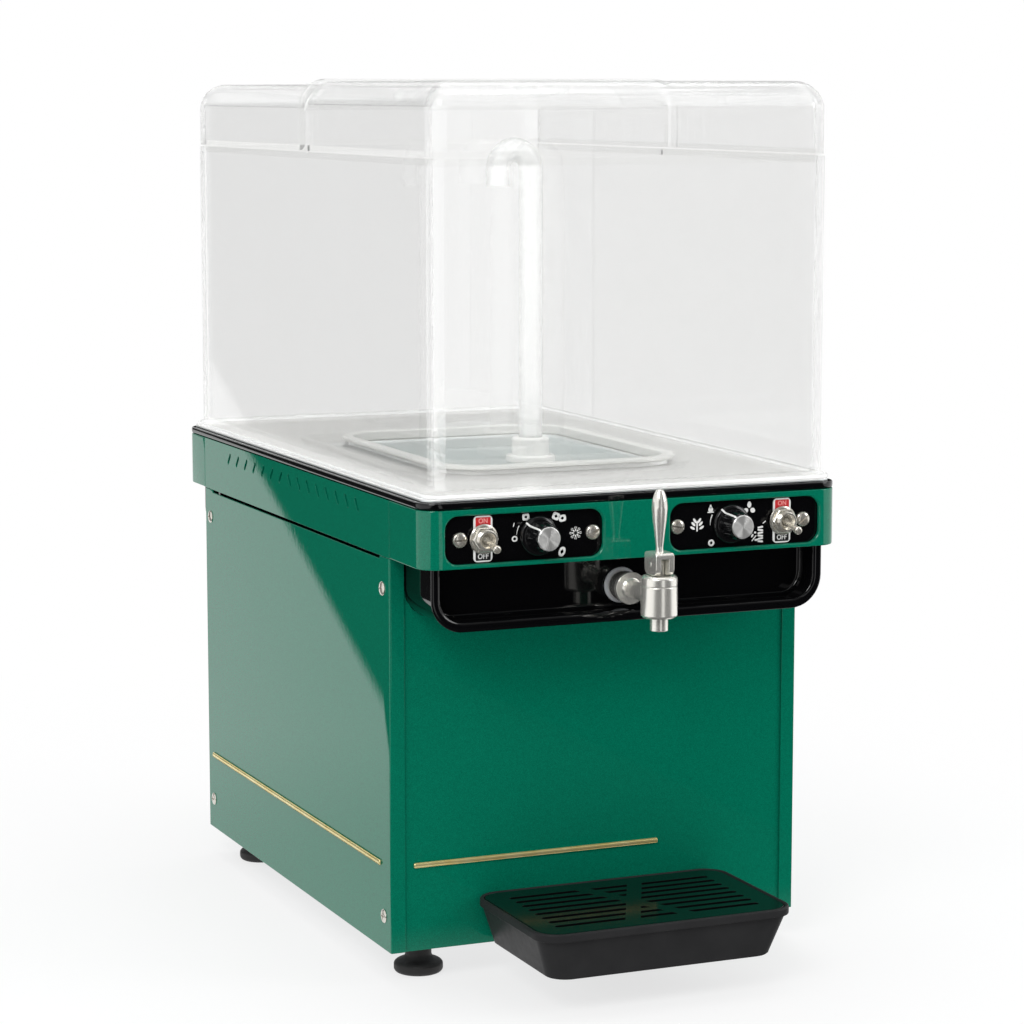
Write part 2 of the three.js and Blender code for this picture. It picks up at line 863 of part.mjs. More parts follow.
function coilTailHoles() {
  return coilTails().map(([x, y]) =>
    rod(coilPipe + 2 * shaftGap, tubBottom - overrun, wellFloorTop + wellFillet, smallSides)
      .translate(x, y, 0));
}

// Foam between the tub and the well, with room for the coil, the drain and the drive magnet

function foamInsulation() {
  const inset = tubWall + seatGap;
  const front = dishFace + inset;
  const body = slabAlongY(tubSection(inset, rimTop), front, tubRear - inset);
  const room = coilOffset() + coilPipe / 2 + coilGap;
  const coilBottom = deckBottom - coilDrop - coilPipe / 2 - coilGap;
  const wellRoom = wellSheet + seatGap;
  const pocket = (reach, z0) => slab(roundedRect(wellWidth + 2 * reach, wellLength + 2 * reach,
    wellCorner + reach, 0, wellCentreY), z0, rimTop + overrun);
  const wellPocket = pocket(wellRoom, wellFloorBottom - seatGap);
  const coilPocket = pocket(room, coilBottom);
  const drainRadius = drainTubeDiameter / 2 + drainTubeRoom;
  const drain = facingFront(rod(2 * drainRadius, -wellCentreY, -front + overrun)).translate(0, 0, tapHeight);
  const magnet = rod(magnetHoleDiameter, tubBottom, wellFloorTop).translate(0, pumpY, 0);
  const [[rightX, rightY], [leftX, leftY]] = coilTails();
  const tailHalf = coilPipe / 2 + coilGap;
  const rightSlot = block(rightX - tailHalf, rightX + tailHalf, rightY - tailHalf,
    rightY + tailHalf + coilTailOffset, tubBottom, coilBottom + overrun);
  const leftSlot = block(leftX - tailHalf, -wellWidth / 2 - wellRoom, leftY - tailHalf,
    leftY + tailHalf + coilTailOffset, tubBottom, rimTop + overrun);
  return cut(body, wellPocket, coilPocket, drain, magnet, rightSlot, leftSlot);
}

// Deck and well: one stainless pressing with a drain spigot and the impeller's spindle

// A basin outline carried up from a rounded lower edge
function basin(width, length, corner, fillet, z0, z1) {
  const sections = [];
  for (let i = 0; i <= cornerFacets; i += 1) {
    const angle = (Math.PI / 2) * (i / cornerFacets);
    const inset = fillet * (1 - Math.sin(angle));
    sections.push({
      points: outline(roundedRect(width - 2 * inset, length - 2 * inset, corner - inset, 0, wellCentreY)),
      z: z0 + fillet * (1 - Math.cos(angle)),
    });
  }
  const rim = outline(roundedRect(width, length, corner, 0, wellCentreY));
  return loft([...sections, { points: rim, z: z1 }]);
}

function coldWell() {
  const deck = slab(roundedRect(cabinetWidth - 2 * deckInset, collarLength - 2 * deckInset,
    collarCorner - deckInset, 0, collarCentreY), deckBottom, deckTop);
  const outer = basin(wellWidth + 2 * wellSheet, wellLength + 2 * wellSheet, wellCorner + wellSheet,
    wellFillet + wellSheet, wellFloorBottom, deckTop);
  const inner = basin(wellWidth, wellLength, wellCorner, wellFillet, wellFloorTop, deckTop + overrun);
  const spigotEnd = wellFront - wellSheet - spigotLength;
  const spigot = facingFront(rod(spigotDiameter, -wellFront - wellFillet, -spigotEnd));
  const bore = facingFront(rod(drainBore, -wellFront - 2 * wellFillet, -spigotEnd + overrun));
  spigot.translate(0, 0, tapHeight);
  bore.translate(0, 0, tapHeight);
  const spindle = rod(spindleDiameter, wellFloorBottom, wellFloorTop + spindleHeight, smallSides);
  const shell = cut(join(deck, outer, spigot), inner, bore);
  return join(shell, spindle.translate(0, pumpY, 0));
}

// Evaporator coil: a pipe wound round the well, with both ends led down through the tub's floor

// A smooth curve that an extrusion follows station by station
class StationCurve extends THREE.CatmullRomCurve3 {
  getUtoTmapping(u) {
    return u;
  }
}

function evaporatorCoil() {
  const grow = coilOffset();
  const ring = outline(roundedRect(wellWidth + 2 * grow, wellLength + 2 * grow, wellCorner + grow,
    0, wellCentreY));
  const [[rightX, rightY], [leftX, leftY]] = coilTails();
  const [low, end] = [deckBottom - coilDrop, tubBottom - coilTailReach];
  const stations = [point(rightX, rightY, end), point(rightX, rightY, low - coilTailOffset)];
  const count = coilTurns * ring.length;
  for (let i = 0; i <= count; i += 1) {
    const at = ring[i % ring.length];
    stations.push(point(at.x, at.y, low + (i / ring.length) * coilPitch));
  }
  const high = low + coilTurns * coilPitch;
  const stationX = (leftX - rightX) / 2;
  stations.push(point(stationX, leftY + coilPipe / 2, high - coilPipe / 4));
  stations.push(point(leftX, leftY, high - coilTailOffset), point(leftX, leftY, end));
  return pipe(new StationCurve(stations), coilPipe, stations.length - 1);
}

// Seal: fits in the opening of the bowl's floor, its lip lies on the floor

function sealOpening(grow) {
  const reach = sealClearOfWell + grow;
  return roundedRect(wellWidth + 2 * reach, wellLength + 2 * reach, wellCorner + reach, 0, wellCentreY);
}

function wellSeal() {
  const body = slab(sealOpening(sealThickness), bowlBottom, bowlFloorTop + seatGap + sealLipHeight);
  const lip = slab(sealOpening(sealThickness + sealLip), bowlFloorTop + seatGap,
    bowlFloorTop + seatGap + sealLipHeight);
  const bore = slab(sealOpening(0), bowlBottom - overrun, bowlTop);
  return cut(join(body, lip), bore);
}

function bowl() {
  const walls = slab(roundedRect(bowlWidth, bowlLength, bowlCorner, 0, bowlCentreY), bowlBottom, bowlTop);
  const flangeY = Math.min(bowlFlange, bowlInsetFront - sheet);
  const flange = slab(roundedRect(bowlWidth + 2 * bowlFlange, bowlLength + 2 * flangeY, bowlCorner + sheet,
    0, bowlCentreY), bowlBottom, bowlBottom + bowlFlangeHeight);
  const inside = slab(roundedRect(bowlWidth - 2 * bowlWall, bowlLength - 2 * bowlWall, bowlCorner - bowlWall,
    0, bowlCentreY), bowlFloorTop, bowlTop + overrun);
  const opening = slab(sealOpening(sealThickness + seatGap), bowlBottom - overrun, bowlFloorTop + overrun);
  return cut(join(walls, flange), inside, opening);
}

// Lids: two domed covers that meet over the middle of the bowl

function dome(inset, top) {
  const [width, length] = [bowlWidth - 2 * inset, bowlLength - 2 * inset];
  const edge = lidEdge - Math.max(inset, 0);
  const below = lidBottom - 2 * lidEdge;
  const body = softSlab(width, length, edge, 0, bowlCentreY, below, top - inset, edge);
  return cut(body, block(-half - overrun, half + overrun, collarFront - overrun, collarRear + overrun,
    below - overrun, lidBottom));
}

function lidHalf(top, y0, y1, ribY0, ribY1) {
  const slice = block(-half - overrun, half + overrun, y0, y1, bowlBottom, top + lidHeight);
  const footTop = lidBottom + lidFootHeight;
  const lipOutside = bowlWall + seatGap;
  const lipInside = lipOutside + lidLipThickness;
  const lipRing = (inset, z0, z1) => slab(roundedRect(bowlWidth - 2 * inset, bowlLength - 2 * inset,
    Math.max(bowlCorner - inset, sheet), 0, bowlCentreY), z0, z1);
  const shell = cut(dome(0, top), dome(lidWall, top));
  const footRing = lipRing(0, lidBottom, footTop);
  const lip = lipRing(lipOutside, lidBottom - lidLipDepth, footTop);
  const hollow = lipRing(lipInside, lidBottom - lidLipDepth - overrun, footTop + overrun);
  const wall = join(shell, cut(join(footRing, lip), hollow));
  const rib = block(-bowlWidth / 2 + lidWall / 2, bowlWidth / 2 - lidWall / 2, ribY0, ribY1,
    top - lidWall - lidEndRib, top + lidHeight);
  return join(common(wall, slice), common(common(dome(0, top), rib), slice));
}

function frontLid() {
  const top = lidBottom + lidHeight;
  const seam = lidSeamY - lidSeamGap / 2;
  const cover = lidHalf(top, collarFront, seam, seam - lidWall, seam);
  const bandSlice = block(-half - overrun, half + overrun, seam - lidBandWidth, seam,
    lidBottom, top + lidHeight);
  const band = common(cut(dome(-lidBandProud, top), dome(lidWall / 2, top)), bandSlice);
  return join(cover, band);
}

function rearLid() {
  const seam = lidSeamY + lidSeamGap / 2;
  return lidHalf(lidBottom + lidHeight - lidStep, seam, collarRear, seam, seam + lidWall);
}

// Spray pump: a cover with ports stands over the impeller, its riser carries the hooked tube

function pumpCover() {
  const floor = wellFloorTop + seatGap;
  const roof = floor + coverHeight;
  const [bell, riser] = [coverDiameter / 2, riserDiameter / 2];
  const flangeTop = bowlFloorTop + seatGap;
  const flangeBottom = flangeTop - riserFlangeHeight;
  const capTop = flangeBottom + riserCapRise;
  const [flangeR, capR] = [riserFlangeDiameter / 2, riserCapDiameter / 2];
  const body = turned([
    [0, floor], [bell, floor], [bell, roof - coverWall], [bell - coverWall, roof], [riser + coverWall, roof],
    [riser, roof + coverWall], [riser, flangeBottom], [flangeR, flangeBottom], [flangeR, flangeTop],
    [capR, flangeTop], [capR, capTop - sheet], [capR - sheet, capTop], [0, capTop],
  ]);
  const chamber = rod(coverDiameter - 2 * coverWall, floor - overrun, roof - coverWall);
  const bore = rod(sprayTubeBore, floor, capTop + overrun, smallSides);
  const socket = rod(sprayTubeDiameter + 2 * shaftGap, capTop - sprayTubeSeat, capTop + overrun);
  const ports = [0, 1].map((i) => block(-coverDiameter, coverDiameter,
    -coverPortWidth / 2, coverPortWidth / 2, floor - overrun, floor + coverPortHeight)
    .rotateZ((i * Math.PI) / 2));
  return cut(body, chamber, bore, socket, ...ports);
}

function riserTop() {
  return bowlFloorTop + seatGap - riserFlangeHeight + riserCapRise;
}

class HookArc extends THREE.Curve {
  getPoint(t, target = new THREE.Vector3()) {
    const angle = Math.PI * t;
    return target.set(hookRadius * (Math.cos(angle) - 1), 0, hookRadius * Math.sin(angle));
  }
}

function sprayTube() {
  const foot = riserTop() - sprayTubeSeat + seatGap;
  const tube = (diameter, spare) => {
    const arc = pipe(new HookArc(), diameter, smallSides, tubeSides).translate(0, 0, sprayTubeTop);
    const riser = rod(diameter, foot - spare, sprayTubeTop + seatGap, tubeSides);
    const drop = rod(diameter, sprayTubeTop - hookDrop - spare, sprayTubeTop + seatGap, tubeSides);
    return join(riser, arc, drop.translate(-2 * hookRadius, 0, 0));
  };
  return cut(tube(sprayTubeDiameter, 0), tube(sprayTubeBore, overrun));
}

function impeller() {
  const disc = rod(impellerDiameter, 0, impellerBase);
  const hub = rod(impellerHub, 0, impellerHeight, smallSides);
  const vanes = [];
  for (let i = 0; i < vaneCount; i += 1) {
    const vane = block(impellerHub / 4, impellerDiameter / 2 - sheet, -vaneThickness / 2, vaneThickness / 2,
      impellerBase / 2, impellerHeight);
    vanes.push(vane.rotateZ((2 * Math.PI * i) / vaneCount));
  }
  const bore = rod(spindleDiameter + 2 * shaftGap, -overrun, impellerHeight + overrun, smallSides);
  return cut(join(disc, hub, ...vanes), bore);
}

function driveMagnet() {
  const r = magnetDiameter / 2;
  const disc = turned([
    [0, 0], [r, 0], [r, magnetThickness - sheet], [r - sheet, magnetThickness], [0, magnetThickness],
  ], tubeSides);
  return cut(disc, rod(motorShaftDiameter + 2 * shaftGap, -overrun, magnetThickness / 2, smallSides));
}

// Pump motor: hangs under the tub's floor by its flange, z counted from the flange's top
function pumpMotor() {
  const [flange, r, shaft] = [motorFlangeDiameter / 2, motorDiameter / 2, motorShaftDiameter / 2];
  const boss = motorDiameter / 4;
  const bottom = -motorFlangeThickness - motorHeight;
  const magnetBottom = wellFloorBottom - seatGap - magnetThickness - (tubBottom - seatGap);
  const shaftTop = magnetBottom + magnetThickness / 2 - seatGap;
  return turned([
    [0, bottom - motorBoss], [boss, bottom - motorBoss], [boss, bottom], [r - motorBoss, bottom],
    [r, bottom + motorBoss], [r, -motorFlangeThickness], [flange, -motorFlangeThickness], [flange, 0],
    [shaft, 0], [shaft, shaftTop], [0, shaftTop],
  ], tubeSides);
}

// Condenser: a slab of fins on a core, with the pipe's return bends at both ends

function condenser() {
  const [x, z0] = [condenserWidth / 2, machineFloor];
  const bendRoom = condenserPipe * 2;
  const finX = x - bendRoom;
  const coreMiddle = condenserDepth / 2;
  const pieces = [block(-finX, finX, coreMiddle - condenserCoreDepth / 2, coreMiddle + condenserCoreDepth / 2,
    z0 + finPitch / 2, z0 + condenserHeight - finPitch / 2)];
  const finCount = Math.floor((2 * finX) / finPitch);
  for (let i = 0; i <= finCount; i += 1) {
    const at = -finX + (i * 2 * finX) / finCount;
    const thick = i === 0 || i === finCount ? 2 * finThickness : finThickness;
    pieces.push(block(at - thick / 2, at + thick / 2, 0, condenserDepth, z0, z0 + condenserHeight));
  }
  const rise = (condenserHeight - finPitch) / condenserRows;
  for (let row = 0; row < condenserRows; row += 1) {
    const side = row % 2 === 0 ? 1 : -1;
    const zLow = z0 + finPitch / 2 + (row + condenserBendShare) * rise;
    const bend = bentPath([
      point(side * (finX - finPitch / 2), coreMiddle, zLow),
      point(side * (x - condenserPipe / 2), coreMiddle, zLow),
      point(side * (x - condenserPipe / 2), coreMiddle, zLow + rise / 2),
      point(side * (finX - finPitch / 2), coreMiddle, zLow + rise / 2),
    ], condenserPipe);
    pieces.push(pipe(bend, condenserPipe, pipeSides));
  }
  return join(...pieces);
}

function fanCentreHeight() {
  return machineFloor + condenserHeight / 2;
}

function fanShroud() {
  const [x, z0] = [condenserWidth / 2, machineFloor];
  const centre = fanCentreHeight();
  const plate = block(-x, x, 0, sheet, z0, z0 + condenserHeight);
  const ring = facingFront(rod(shroudOpening + 2 * sheet, -shroudRing, -sheet / 2, largeSides));
  const hole = facingFront(rod(shroudOpening, -shroudRing - overrun, overrun, largeSides));
  return cut(join(plate, ring.translate(0, 0, centre)), hole.translate(0, 0, centre));
}

// Fan: z runs towards the front, the blades are set at their pitch
function condenserFan() {
  const hub = rod(fanHubDiameter, 0, fanHubDepth);
  const blades = [];
  const [root, tip] = [fanHubDiameter / 2 - fanBladeThickness * 2, fanDiameter / 2];
  for (let i = 0; i < fanBladeCount; i += 1) {
    const shape = new THREE.Shape();
    shape.moveTo(root, -fanBladeRootChord / 2);
    shape.lineTo(root, fanBladeRootChord / 2);
    shape.quadraticCurveTo(
      (root + tip) / 2, fanBladeChord / 2, tip - fanBladeTrim, fanBladeChord / 2);
    shape.quadraticCurveTo(tip, fanBladeChord / 3, tip - fanBladeTrim / 4, 0);
    shape.lineTo(tip - fanBladeTrim, -fanBladeChord / 3);
    shape.closePath();
    const blade = slab(shape, -fanBladeThickness / 2, fanBladeThickness / 2);
    blade.rotateX(THREE.MathUtils.degToRad(fanBladePitchDegrees)).translate(0, 0, fanHubDepth / 2);
    blades.push(blade.rotateZ((2 * Math.PI * i) / fanBladeCount));
  }
  const bore = rod(fanMotorShaft + 2 * shaftGap, -overrun, fanHubDepth / 2, smallSides);
  return facingFront(geometryOf(cut(join(hub, ...blades), bore)));
}

// Fan motor: stands on the base plate by a folded bracket, z counted from the machine floor
function fanMotor(floorDrop) {
  const [r, shaft] = [fanMotorDiameter / 2, fanMotorShaft / 2];
  const body = facingFront(turned([
    [0, -fanMotorLength], [r - motorBoss, -fanMotorLength], [r, -fanMotorLength + motorBoss], [r, -motorBoss],
    [r - motorBoss, 0], [shaft, 0], [shaft, fanClearance + fanHubDepth / 2 - seatGap],
    [0, fanClearance + fanHubDepth / 2 - seatGap],
  ], tubeSides));
  const [w, y0] = [fanBracketWidth / 2, fanMotorLength / 2];
  const leg = block(-w, w, y0, y0 + 2 * sheet, -floorDrop, 0);
  const footPlate = block(-w, w, y0, y0 + fanBracketFoot, -floorDrop, -floorDrop + 2 * sheet);
  return join(body, leg, footPlate);
}

// Compressor: a domed can with its weld seam, on a plate with four grommets; z from the plate's foot

function compressor() {
  const r = compressorDiameter / 2;
  const z0 = compressorGrommet + compressorPlateThickness / 2;
  const top = z0 + compressorHeight;
  const middle = z0 + compressorHeight * compressorSeamShare;
  const [footR, belly, dome] = [r * compressorFootShare, r * compressorBellyShare, r * compressorDomeShare];
  const profile = [[0, z0], [footR, z0]];
  for (let i = 1; i <= cornerFacets; i += 1) {
    const angle = (Math.PI / 2) * (i / cornerFacets);
    profile.push([
      footR + (belly - footR) * Math.sin(angle), z0 + r * compressorFootRiseShare * (1 - Math.cos(angle)),
    ]);
  }
  profile.push([belly, middle - compressorSeam], [r + compressorSeam, middle - compressorSeam / 2]);
  profile.push([r + compressorSeam, middle + compressorSeam / 2], [r, middle + compressorSeam]);
  for (let i = 0; i <= 2 * cornerFacets; i += 1) {
    const angle = (Math.PI / 2) * (i / (2 * cornerFacets));
    profile.push([r * Math.cos(angle), top - dome * (1 - Math.sin(angle))]);
  }
  profile[profile.length - 1] = [0, top];
  const can = turned(profile, tubeSides);
  const plateShape = roundedRect(compressorPlate, compressorPlate, compressorGrommetDiameter / 2);
  const plate = slab(plateShape, compressorGrommet, compressorGrommet + compressorPlateThickness);
  const reach = compressorPlate / 2 - compressorGrommetDiameter / 2;
  const grommets = [[-1, -1], [1, -1], [-1, 1], [1, 1]].map(([sx, sy]) =>
    rod(compressorGrommetDiameter, 0, compressorGrommet + compressorPlateThickness / 2, smallSides)
      .translate(sx * reach, sy * reach, 0));
  const terminal = block(-r - stubLength, -r / 2, -r / 3, r / 3, middle + 2 * compressorSeam,
    middle + terminalRise);
  const suction = rod(stubDiameter, top - dome, top + stubLength, smallSides).translate(stubOffsetX, 0, 0);
  const discharge = facingFront(rod(stubDiameter, 0, r + stubLength, smallSides))
    .translate(0, 0, dischargeHeight - machineFloor);
  return join(can, plate, ...grommets, terminal, suction, discharge);
}

function compressorPlace() {
  return [compressorX, cabinetDepth - compressorInsetRear];
}

// Refrigerant lines, each ending face to face with the stub or coil end that it serves

function suctionLine() {
  const [[tailX, tailY]] = coilTails();
  const [cx, cy] = compressorPlace();
  const start = tubBottom - coilTailReach - seatGap;
  const canTop = machineFloor + compressorGrommet + compressorPlateThickness / 2 + compressorHeight;
  const stubTop = canTop + stubLength;
  const level = (start + stubTop + seatGap) / 2;
  const path = bentPath([
    point(tailX, tailY, start), point(tailX, tailY, level), point(cx + stubOffsetX, cy, level),
    point(cx + stubOffsetX, cy, stubTop + seatGap),
  ], lineBend);
  return pipe(path, linePipe, lineSteps);
}

function dischargeLine() {
  const [cx, cy] = compressorPlace();
  const y0 = cy - compressorDiameter / 2 - stubLength - seatGap;
  const fanBack = fanPlane() + fanMotorLength + fanBracketFoot;
  const sideX = condenserWidth / 2 + lineClearance;
  const turnY = (y0 + fanBack) / 2;
  const condenserY = condenserInset + condenserDepth / 2;
  const low = machineFloor + condenserHeight + lineClearance;
  const path = bentPath([
    point(cx, y0, dischargeHeight), point(cx, turnY, dischargeHeight), point(sideX, turnY, dischargeHeight),
    point(sideX, turnY - dischargeSlope, low), point(sideX, condenserY, low),
    point(sideX - dischargeInset, condenserY, low),
    point(sideX - dischargeInset, condenserY, machineFloor + condenserHeight + seatGap),
  ], lineBend);
  return pipe(path, linePipe, 2 * lineSteps);
}

// Liquid line: a copper drier with tapered ends, its pipe rises to the coil's left-hand end
function liquidLine() {
  const [, [tailX, tailY]] = coilTails();
  const [r, neck] = [drierDiameter / 2, linePipe / 2];
  const start = machineFloor + drierRise;
  const top = start + drierLength;
  const body = turned([
    [0, start - drierDiameter], [neck, start - drierDiameter], [neck, start - r], [r, start], [r, top],
    [neck, top + r], [neck, top + drierDiameter], [0, top + drierDiameter],
  ], smallSides).translate(drierX, drierY, 0);
  const end = tubBottom - coilTailReach - seatGap;
  const level = (top + drierDiameter + end) / 2;
  const rise = bentPath([
    point(drierX, drierY, top + r), point(drierX, drierY, level),
    point(tailX, tailY, level), point(tailX, tailY, end),
  ], linePipe);
  const condenserY = condenserInset + condenserDepth / 2;
  const inlet = bentPath([
    point(drierX, drierY, start - r), point(drierX, drierY, start - drierDiameter - lineClearance),
    point(drierX, condenserY, start - drierDiameter - lineClearance),
  ], linePipe);
  return join(body, pipe(rise, linePipe, lineSteps), pipe(inlet, linePipe, lineSteps));
}

function fanPlane() {
  return condenserInset + condenserDepth + seatGap + shroudRing + fanHubDepth + fanClearance;
}

// Controls: each side has its own group, centred on the plate; x counts away from the tap

function controlPlate(side) {
  const plate = slab(roundedRect(windowWidth + 2 * plateMargin, windowHeight + 2 * plateMargin,
    windowCorner + plateMargin), -plateThickness, 0);
  const bushingHole = rod(bushingDiameter + 2 * shaftGap, -plateThickness - overrun, overrun);
  const rotaryHole = rod(rotaryBushing + 2 * shaftGap, -plateThickness - overrun, overrun);
  bushingHole.translate(side * toggleOffset, 0, 0);
  rotaryHole.translate(side * knobOffset, 0, 0);
  return facingFront(geometryOf(cut(plate, bushingHole, rotaryHole)));
}

// Toggle switch: z counts forward from the plate's face
function toggleSwitch() {
  const back = -plateThickness - seatGap;
  const body = block(-toggleBodyWidth / 2, toggleBodyWidth / 2, -toggleBodyHeight / 2, toggleBodyHeight / 2,
    back - toggleBodyDepth, back);
  const bushing = rod(bushingDiameter, back - seatGap, bushingLength);
  const ring = rod(ringDiameter, togglePlateRoom, togglePlateRoom + ringThickness);
  const nutStart = togglePlateRoom + ringThickness;
  const hexRadius = hexFlats / Math.sqrt(3);
  const nut = new THREE.CylinderGeometry(hexRadius, hexRadius, hexThickness + seatGap, 6);
  nut.rotateX(Math.PI / 2).translate(0, 0, nutStart + (hexThickness - seatGap) / 2);
  const pivot = bushingLength - batPivotDepth;
  const ball = batBallDiameter / 2 + shaftGap;
  const mouth = bushingDiameter / 2 - sheet;
  const socket = turned([
    [0, pivot - ball], [ball / 2, pivot - ball], [ball, pivot - ball / 2], [ball, pivot + ball / 4],
    [mouth, bushingLength + seatGap], [0, bushingLength + seatGap],
  ]);
  return facingFront(geometryOf(cut(join(body, bushing, ring, nut), socket)));
}

// Bat lever: turned about its ball, z counts forward from the ball's centre
function toggleLever() {
  const [ball, root, tip] = [batBallDiameter / 2, batRootDiameter / 2, batTipDiameter / 2];
  const neck = Math.sqrt(ball * ball - root * root);
  const lever = turned([
    [0, -ball], [ball * Math.SQRT1_2, -ball * Math.SQRT1_2], [ball, 0], [root, neck],
    [root, neck + root], [tip, batLength - 2 * tip], [tip, batLength - tip / 2],
    [tip / 2, batLength], [0, batLength],
  ], smallSides);
  return facingFront(lever);
}

function rotaryControl() {
  const back = -plateThickness - seatGap;
  const [r, bush, shaft] = [rotaryDiameter / 2, rotaryBushing / 2, rotaryShaft / 2];
  return facingFront(turned([
    [0, back - rotaryDepth], [r - sheet, back - rotaryDepth], [r, back - rotaryDepth + sheet],
    [r, back],
    [bush, back], [bush, knobStandOff - seatGap], [shaft, knobStandOff - seatGap],
    [shaft, rotaryShaftLength], [0, rotaryShaftLength],
  ], tubeSides));
}

// Knob: a skirt, a fluted grip and a bore for the shaft
function fluteOutline(diameter) {
  const points = [];
  const steps = 3 * knobFluteCount;
  for (let i = 0; i < steps; i += 1) {
    const angle = (2 * Math.PI * i) / steps;
    const radius = diameter / 2 - (knobFlute / 2) * (1 - Math.cos(knobFluteCount * angle));
    points.push(new THREE.Vector2(radius * Math.cos(angle), radius * Math.sin(angle)));
  }
  return points;
}

function knob() {
  const [skirt, base] = [knobSkirtDiameter / 2, knobStandOff];
  const skirtTop = base + knobSkirtThickness;
  const shoulder = turned([
    [0, base], [skirt, base], [skirt, base + knobSkirtThickness / 2], [skirt - sheet, skirtTop],
    [knobBodyDiameter / 2, skirtTop + sheet], [0, skirtTop + sheet],
  ]);
  const grip = loft([
    { points: fluteOutline(knobBodyDiameter), z: skirtTop },
    { points: fluteOutline(knobBodyDiameter - 2 * sheet), z: knobHeight },
  ]);
  const bore = rod(rotaryShaft + 2 * shaftGap, base - overrun, knobBoreDepth + shaftGap + sheet, smallSides);
  const recess = rod(knobCapDiameter + 2 * seatGap, knobHeight - knobCapRecess, knobHeight + overrun);
  return facingFront(geometryOf(cut(join(shoulder, grip), bore, recess)));
}

function knobCap() {
  const [r, z0, z1] = [knobCapDiameter / 2, knobHeight - knobCapRecess + seatGap, knobHeight + knobCapProud];
  return facingFront(turned([[0, z0], [r, z0], [r, z1 - sheet / 2], [r - sheet / 2, z1], [0, z1]]));
}

// Tap: z counts up from the axis of its horizontal shank, y from the barrel's axis

function tapShankStart() {
  return tapReach - seatGap - gasketThickness - seatGap - tapNutLength - seatGap;
}

function tapBody() {
  const [r, top, bottom] = [barrelDiameter / 2, barrelTop, -barrelBottom];
  const outlet = outletDiameter / 2;
  const seam = top - barrelGrooveDrop;
  const barrel = turned([
    [0, bottom - outletLength], [outlet, bottom - outletLength], [outlet, bottom], [r - barrelEdge, bottom],
    [r, bottom + barrelEdge], [r, seam - barrelGroove], [r - barrelGroove, seam], [r, seam + barrelGroove],
    [r, top - barrelEdge], [r - barrelEdge, top], [0, top],
  ], largeSides);
  const start = tapShankStart();
  const [flange, neck, shank] = [tapFlangeDiameter / 2, tapNeckDiameter / 2, tapShankDiameter / 2];
  const end = tapReach + tapShankLength;
  const shankBody = facingFront(turned([
    [0, 0], [neck, 0], [neck, -start + tapFlangeThickness],
    [flange - tapFlangeChamfer, -start + tapFlangeThickness],
    [flange, -start + tapFlangeThickness - tapFlangeChamfer], [flange, -start], [shank, -start],
    [shank, -end], [0, -end],
  ]));
  const chamberBottom = bottom + chamberFloor;
  const chamber = rod(chamberDiameter, chamberBottom, top - chamberRoof);
  const stemHole = rod(stemDiameter + 2 * shaftGap, chamberBottom, top + overrun, smallSides);
  const outletHole = rod(outletBore, bottom - outletLength - overrun, chamberBottom + overrun, smallSides);
  const inletHole = facingFront(rod(inletBore, -end - overrun, 0, smallSides));
  return cut(join(barrel, shankBody), chamber, stemHole, outletHole, inletHole);
}

function ringAlongY(outerDiameter, innerDiameter, y0, y1, chamfer) {
  const [r, bore] = [outerDiameter / 2, innerDiameter / 2];
  return facingFront(turned([
    [bore, -y1], [r - chamfer, -y1], [r, -y1 + chamfer], [r, -y0 - chamfer], [r - chamfer, -y0], [bore, -y0],
    [bore, -y1],
  ]));
}

function tapGasket() {
  const y1 = tapReach - seatGap;
  return ringAlongY(gasketDiameter, tapShankDiameter + 2 * shaftGap, y1 - gasketThickness, y1,
    gasketThickness / 4);
}

function tapNut() {
  const y1 = tapReach - 2 * seatGap - gasketThickness;
  return ringAlongY(tapNutDiameter, tapShankDiameter + 2 * shaftGap, y1 - tapNutLength, y1, tapNutChamfer);
}

function pinHeight() {
  return barrelTop + pinRise;
}

// Valve stem: a plug over the outlet, a rod, and a flat tongue that holds the lever's pin
function valveStem() {
  const [r, plug] = [stemDiameter / 2, plugDiameter / 2];
  const bottom = -barrelBottom + chamberFloor + seatGap;
  const top = pinHeight();
  const rounded = turned([
    [0, bottom], [plug, bottom], [plug, bottom + plugHeight], [r, bottom + plugHeight],
    [r, top + tongueRadius], [0, top + tongueRadius],
  ]);
  const flatStart = top - stemFlatDepth;
  const flats = [-1, 1].map((side) => block(
    Math.min(side * stemFlats / 2, side * stemDiameter), Math.max(side * stemFlats / 2, side * stemDiameter),
    -stemDiameter, stemDiameter, flatStart, top + stemDiameter));
  const crown = new THREE.Shape();
  crown.absarc(0, top, tongueRadius, 0, Math.PI, false);
  crown.lineTo(-tongueRadius, bottom);
  crown.lineTo(tongueRadius, bottom);
  crown.closePath();
  const upper = common(cut(rounded, ...flats), slabAlongX(crown, -stemDiameter, stemDiameter));
  const lower = common(rounded, block(-plug, plug, -plug, plug, bottom, flatStart));
  return cut(join(lower, upper), pinHole(top));
}

// A round hole along X through the middle, at height z
function pinHole(z) {
  const shape = new THREE.Shape();
  shape.absarc(0, z, pinDiameter / 2 + shaftGap, 0, 2 * Math.PI, false);
  return slabAlongX(shape, -leverBlockWidth, leverBlockWidth, smallSides / 2);
}

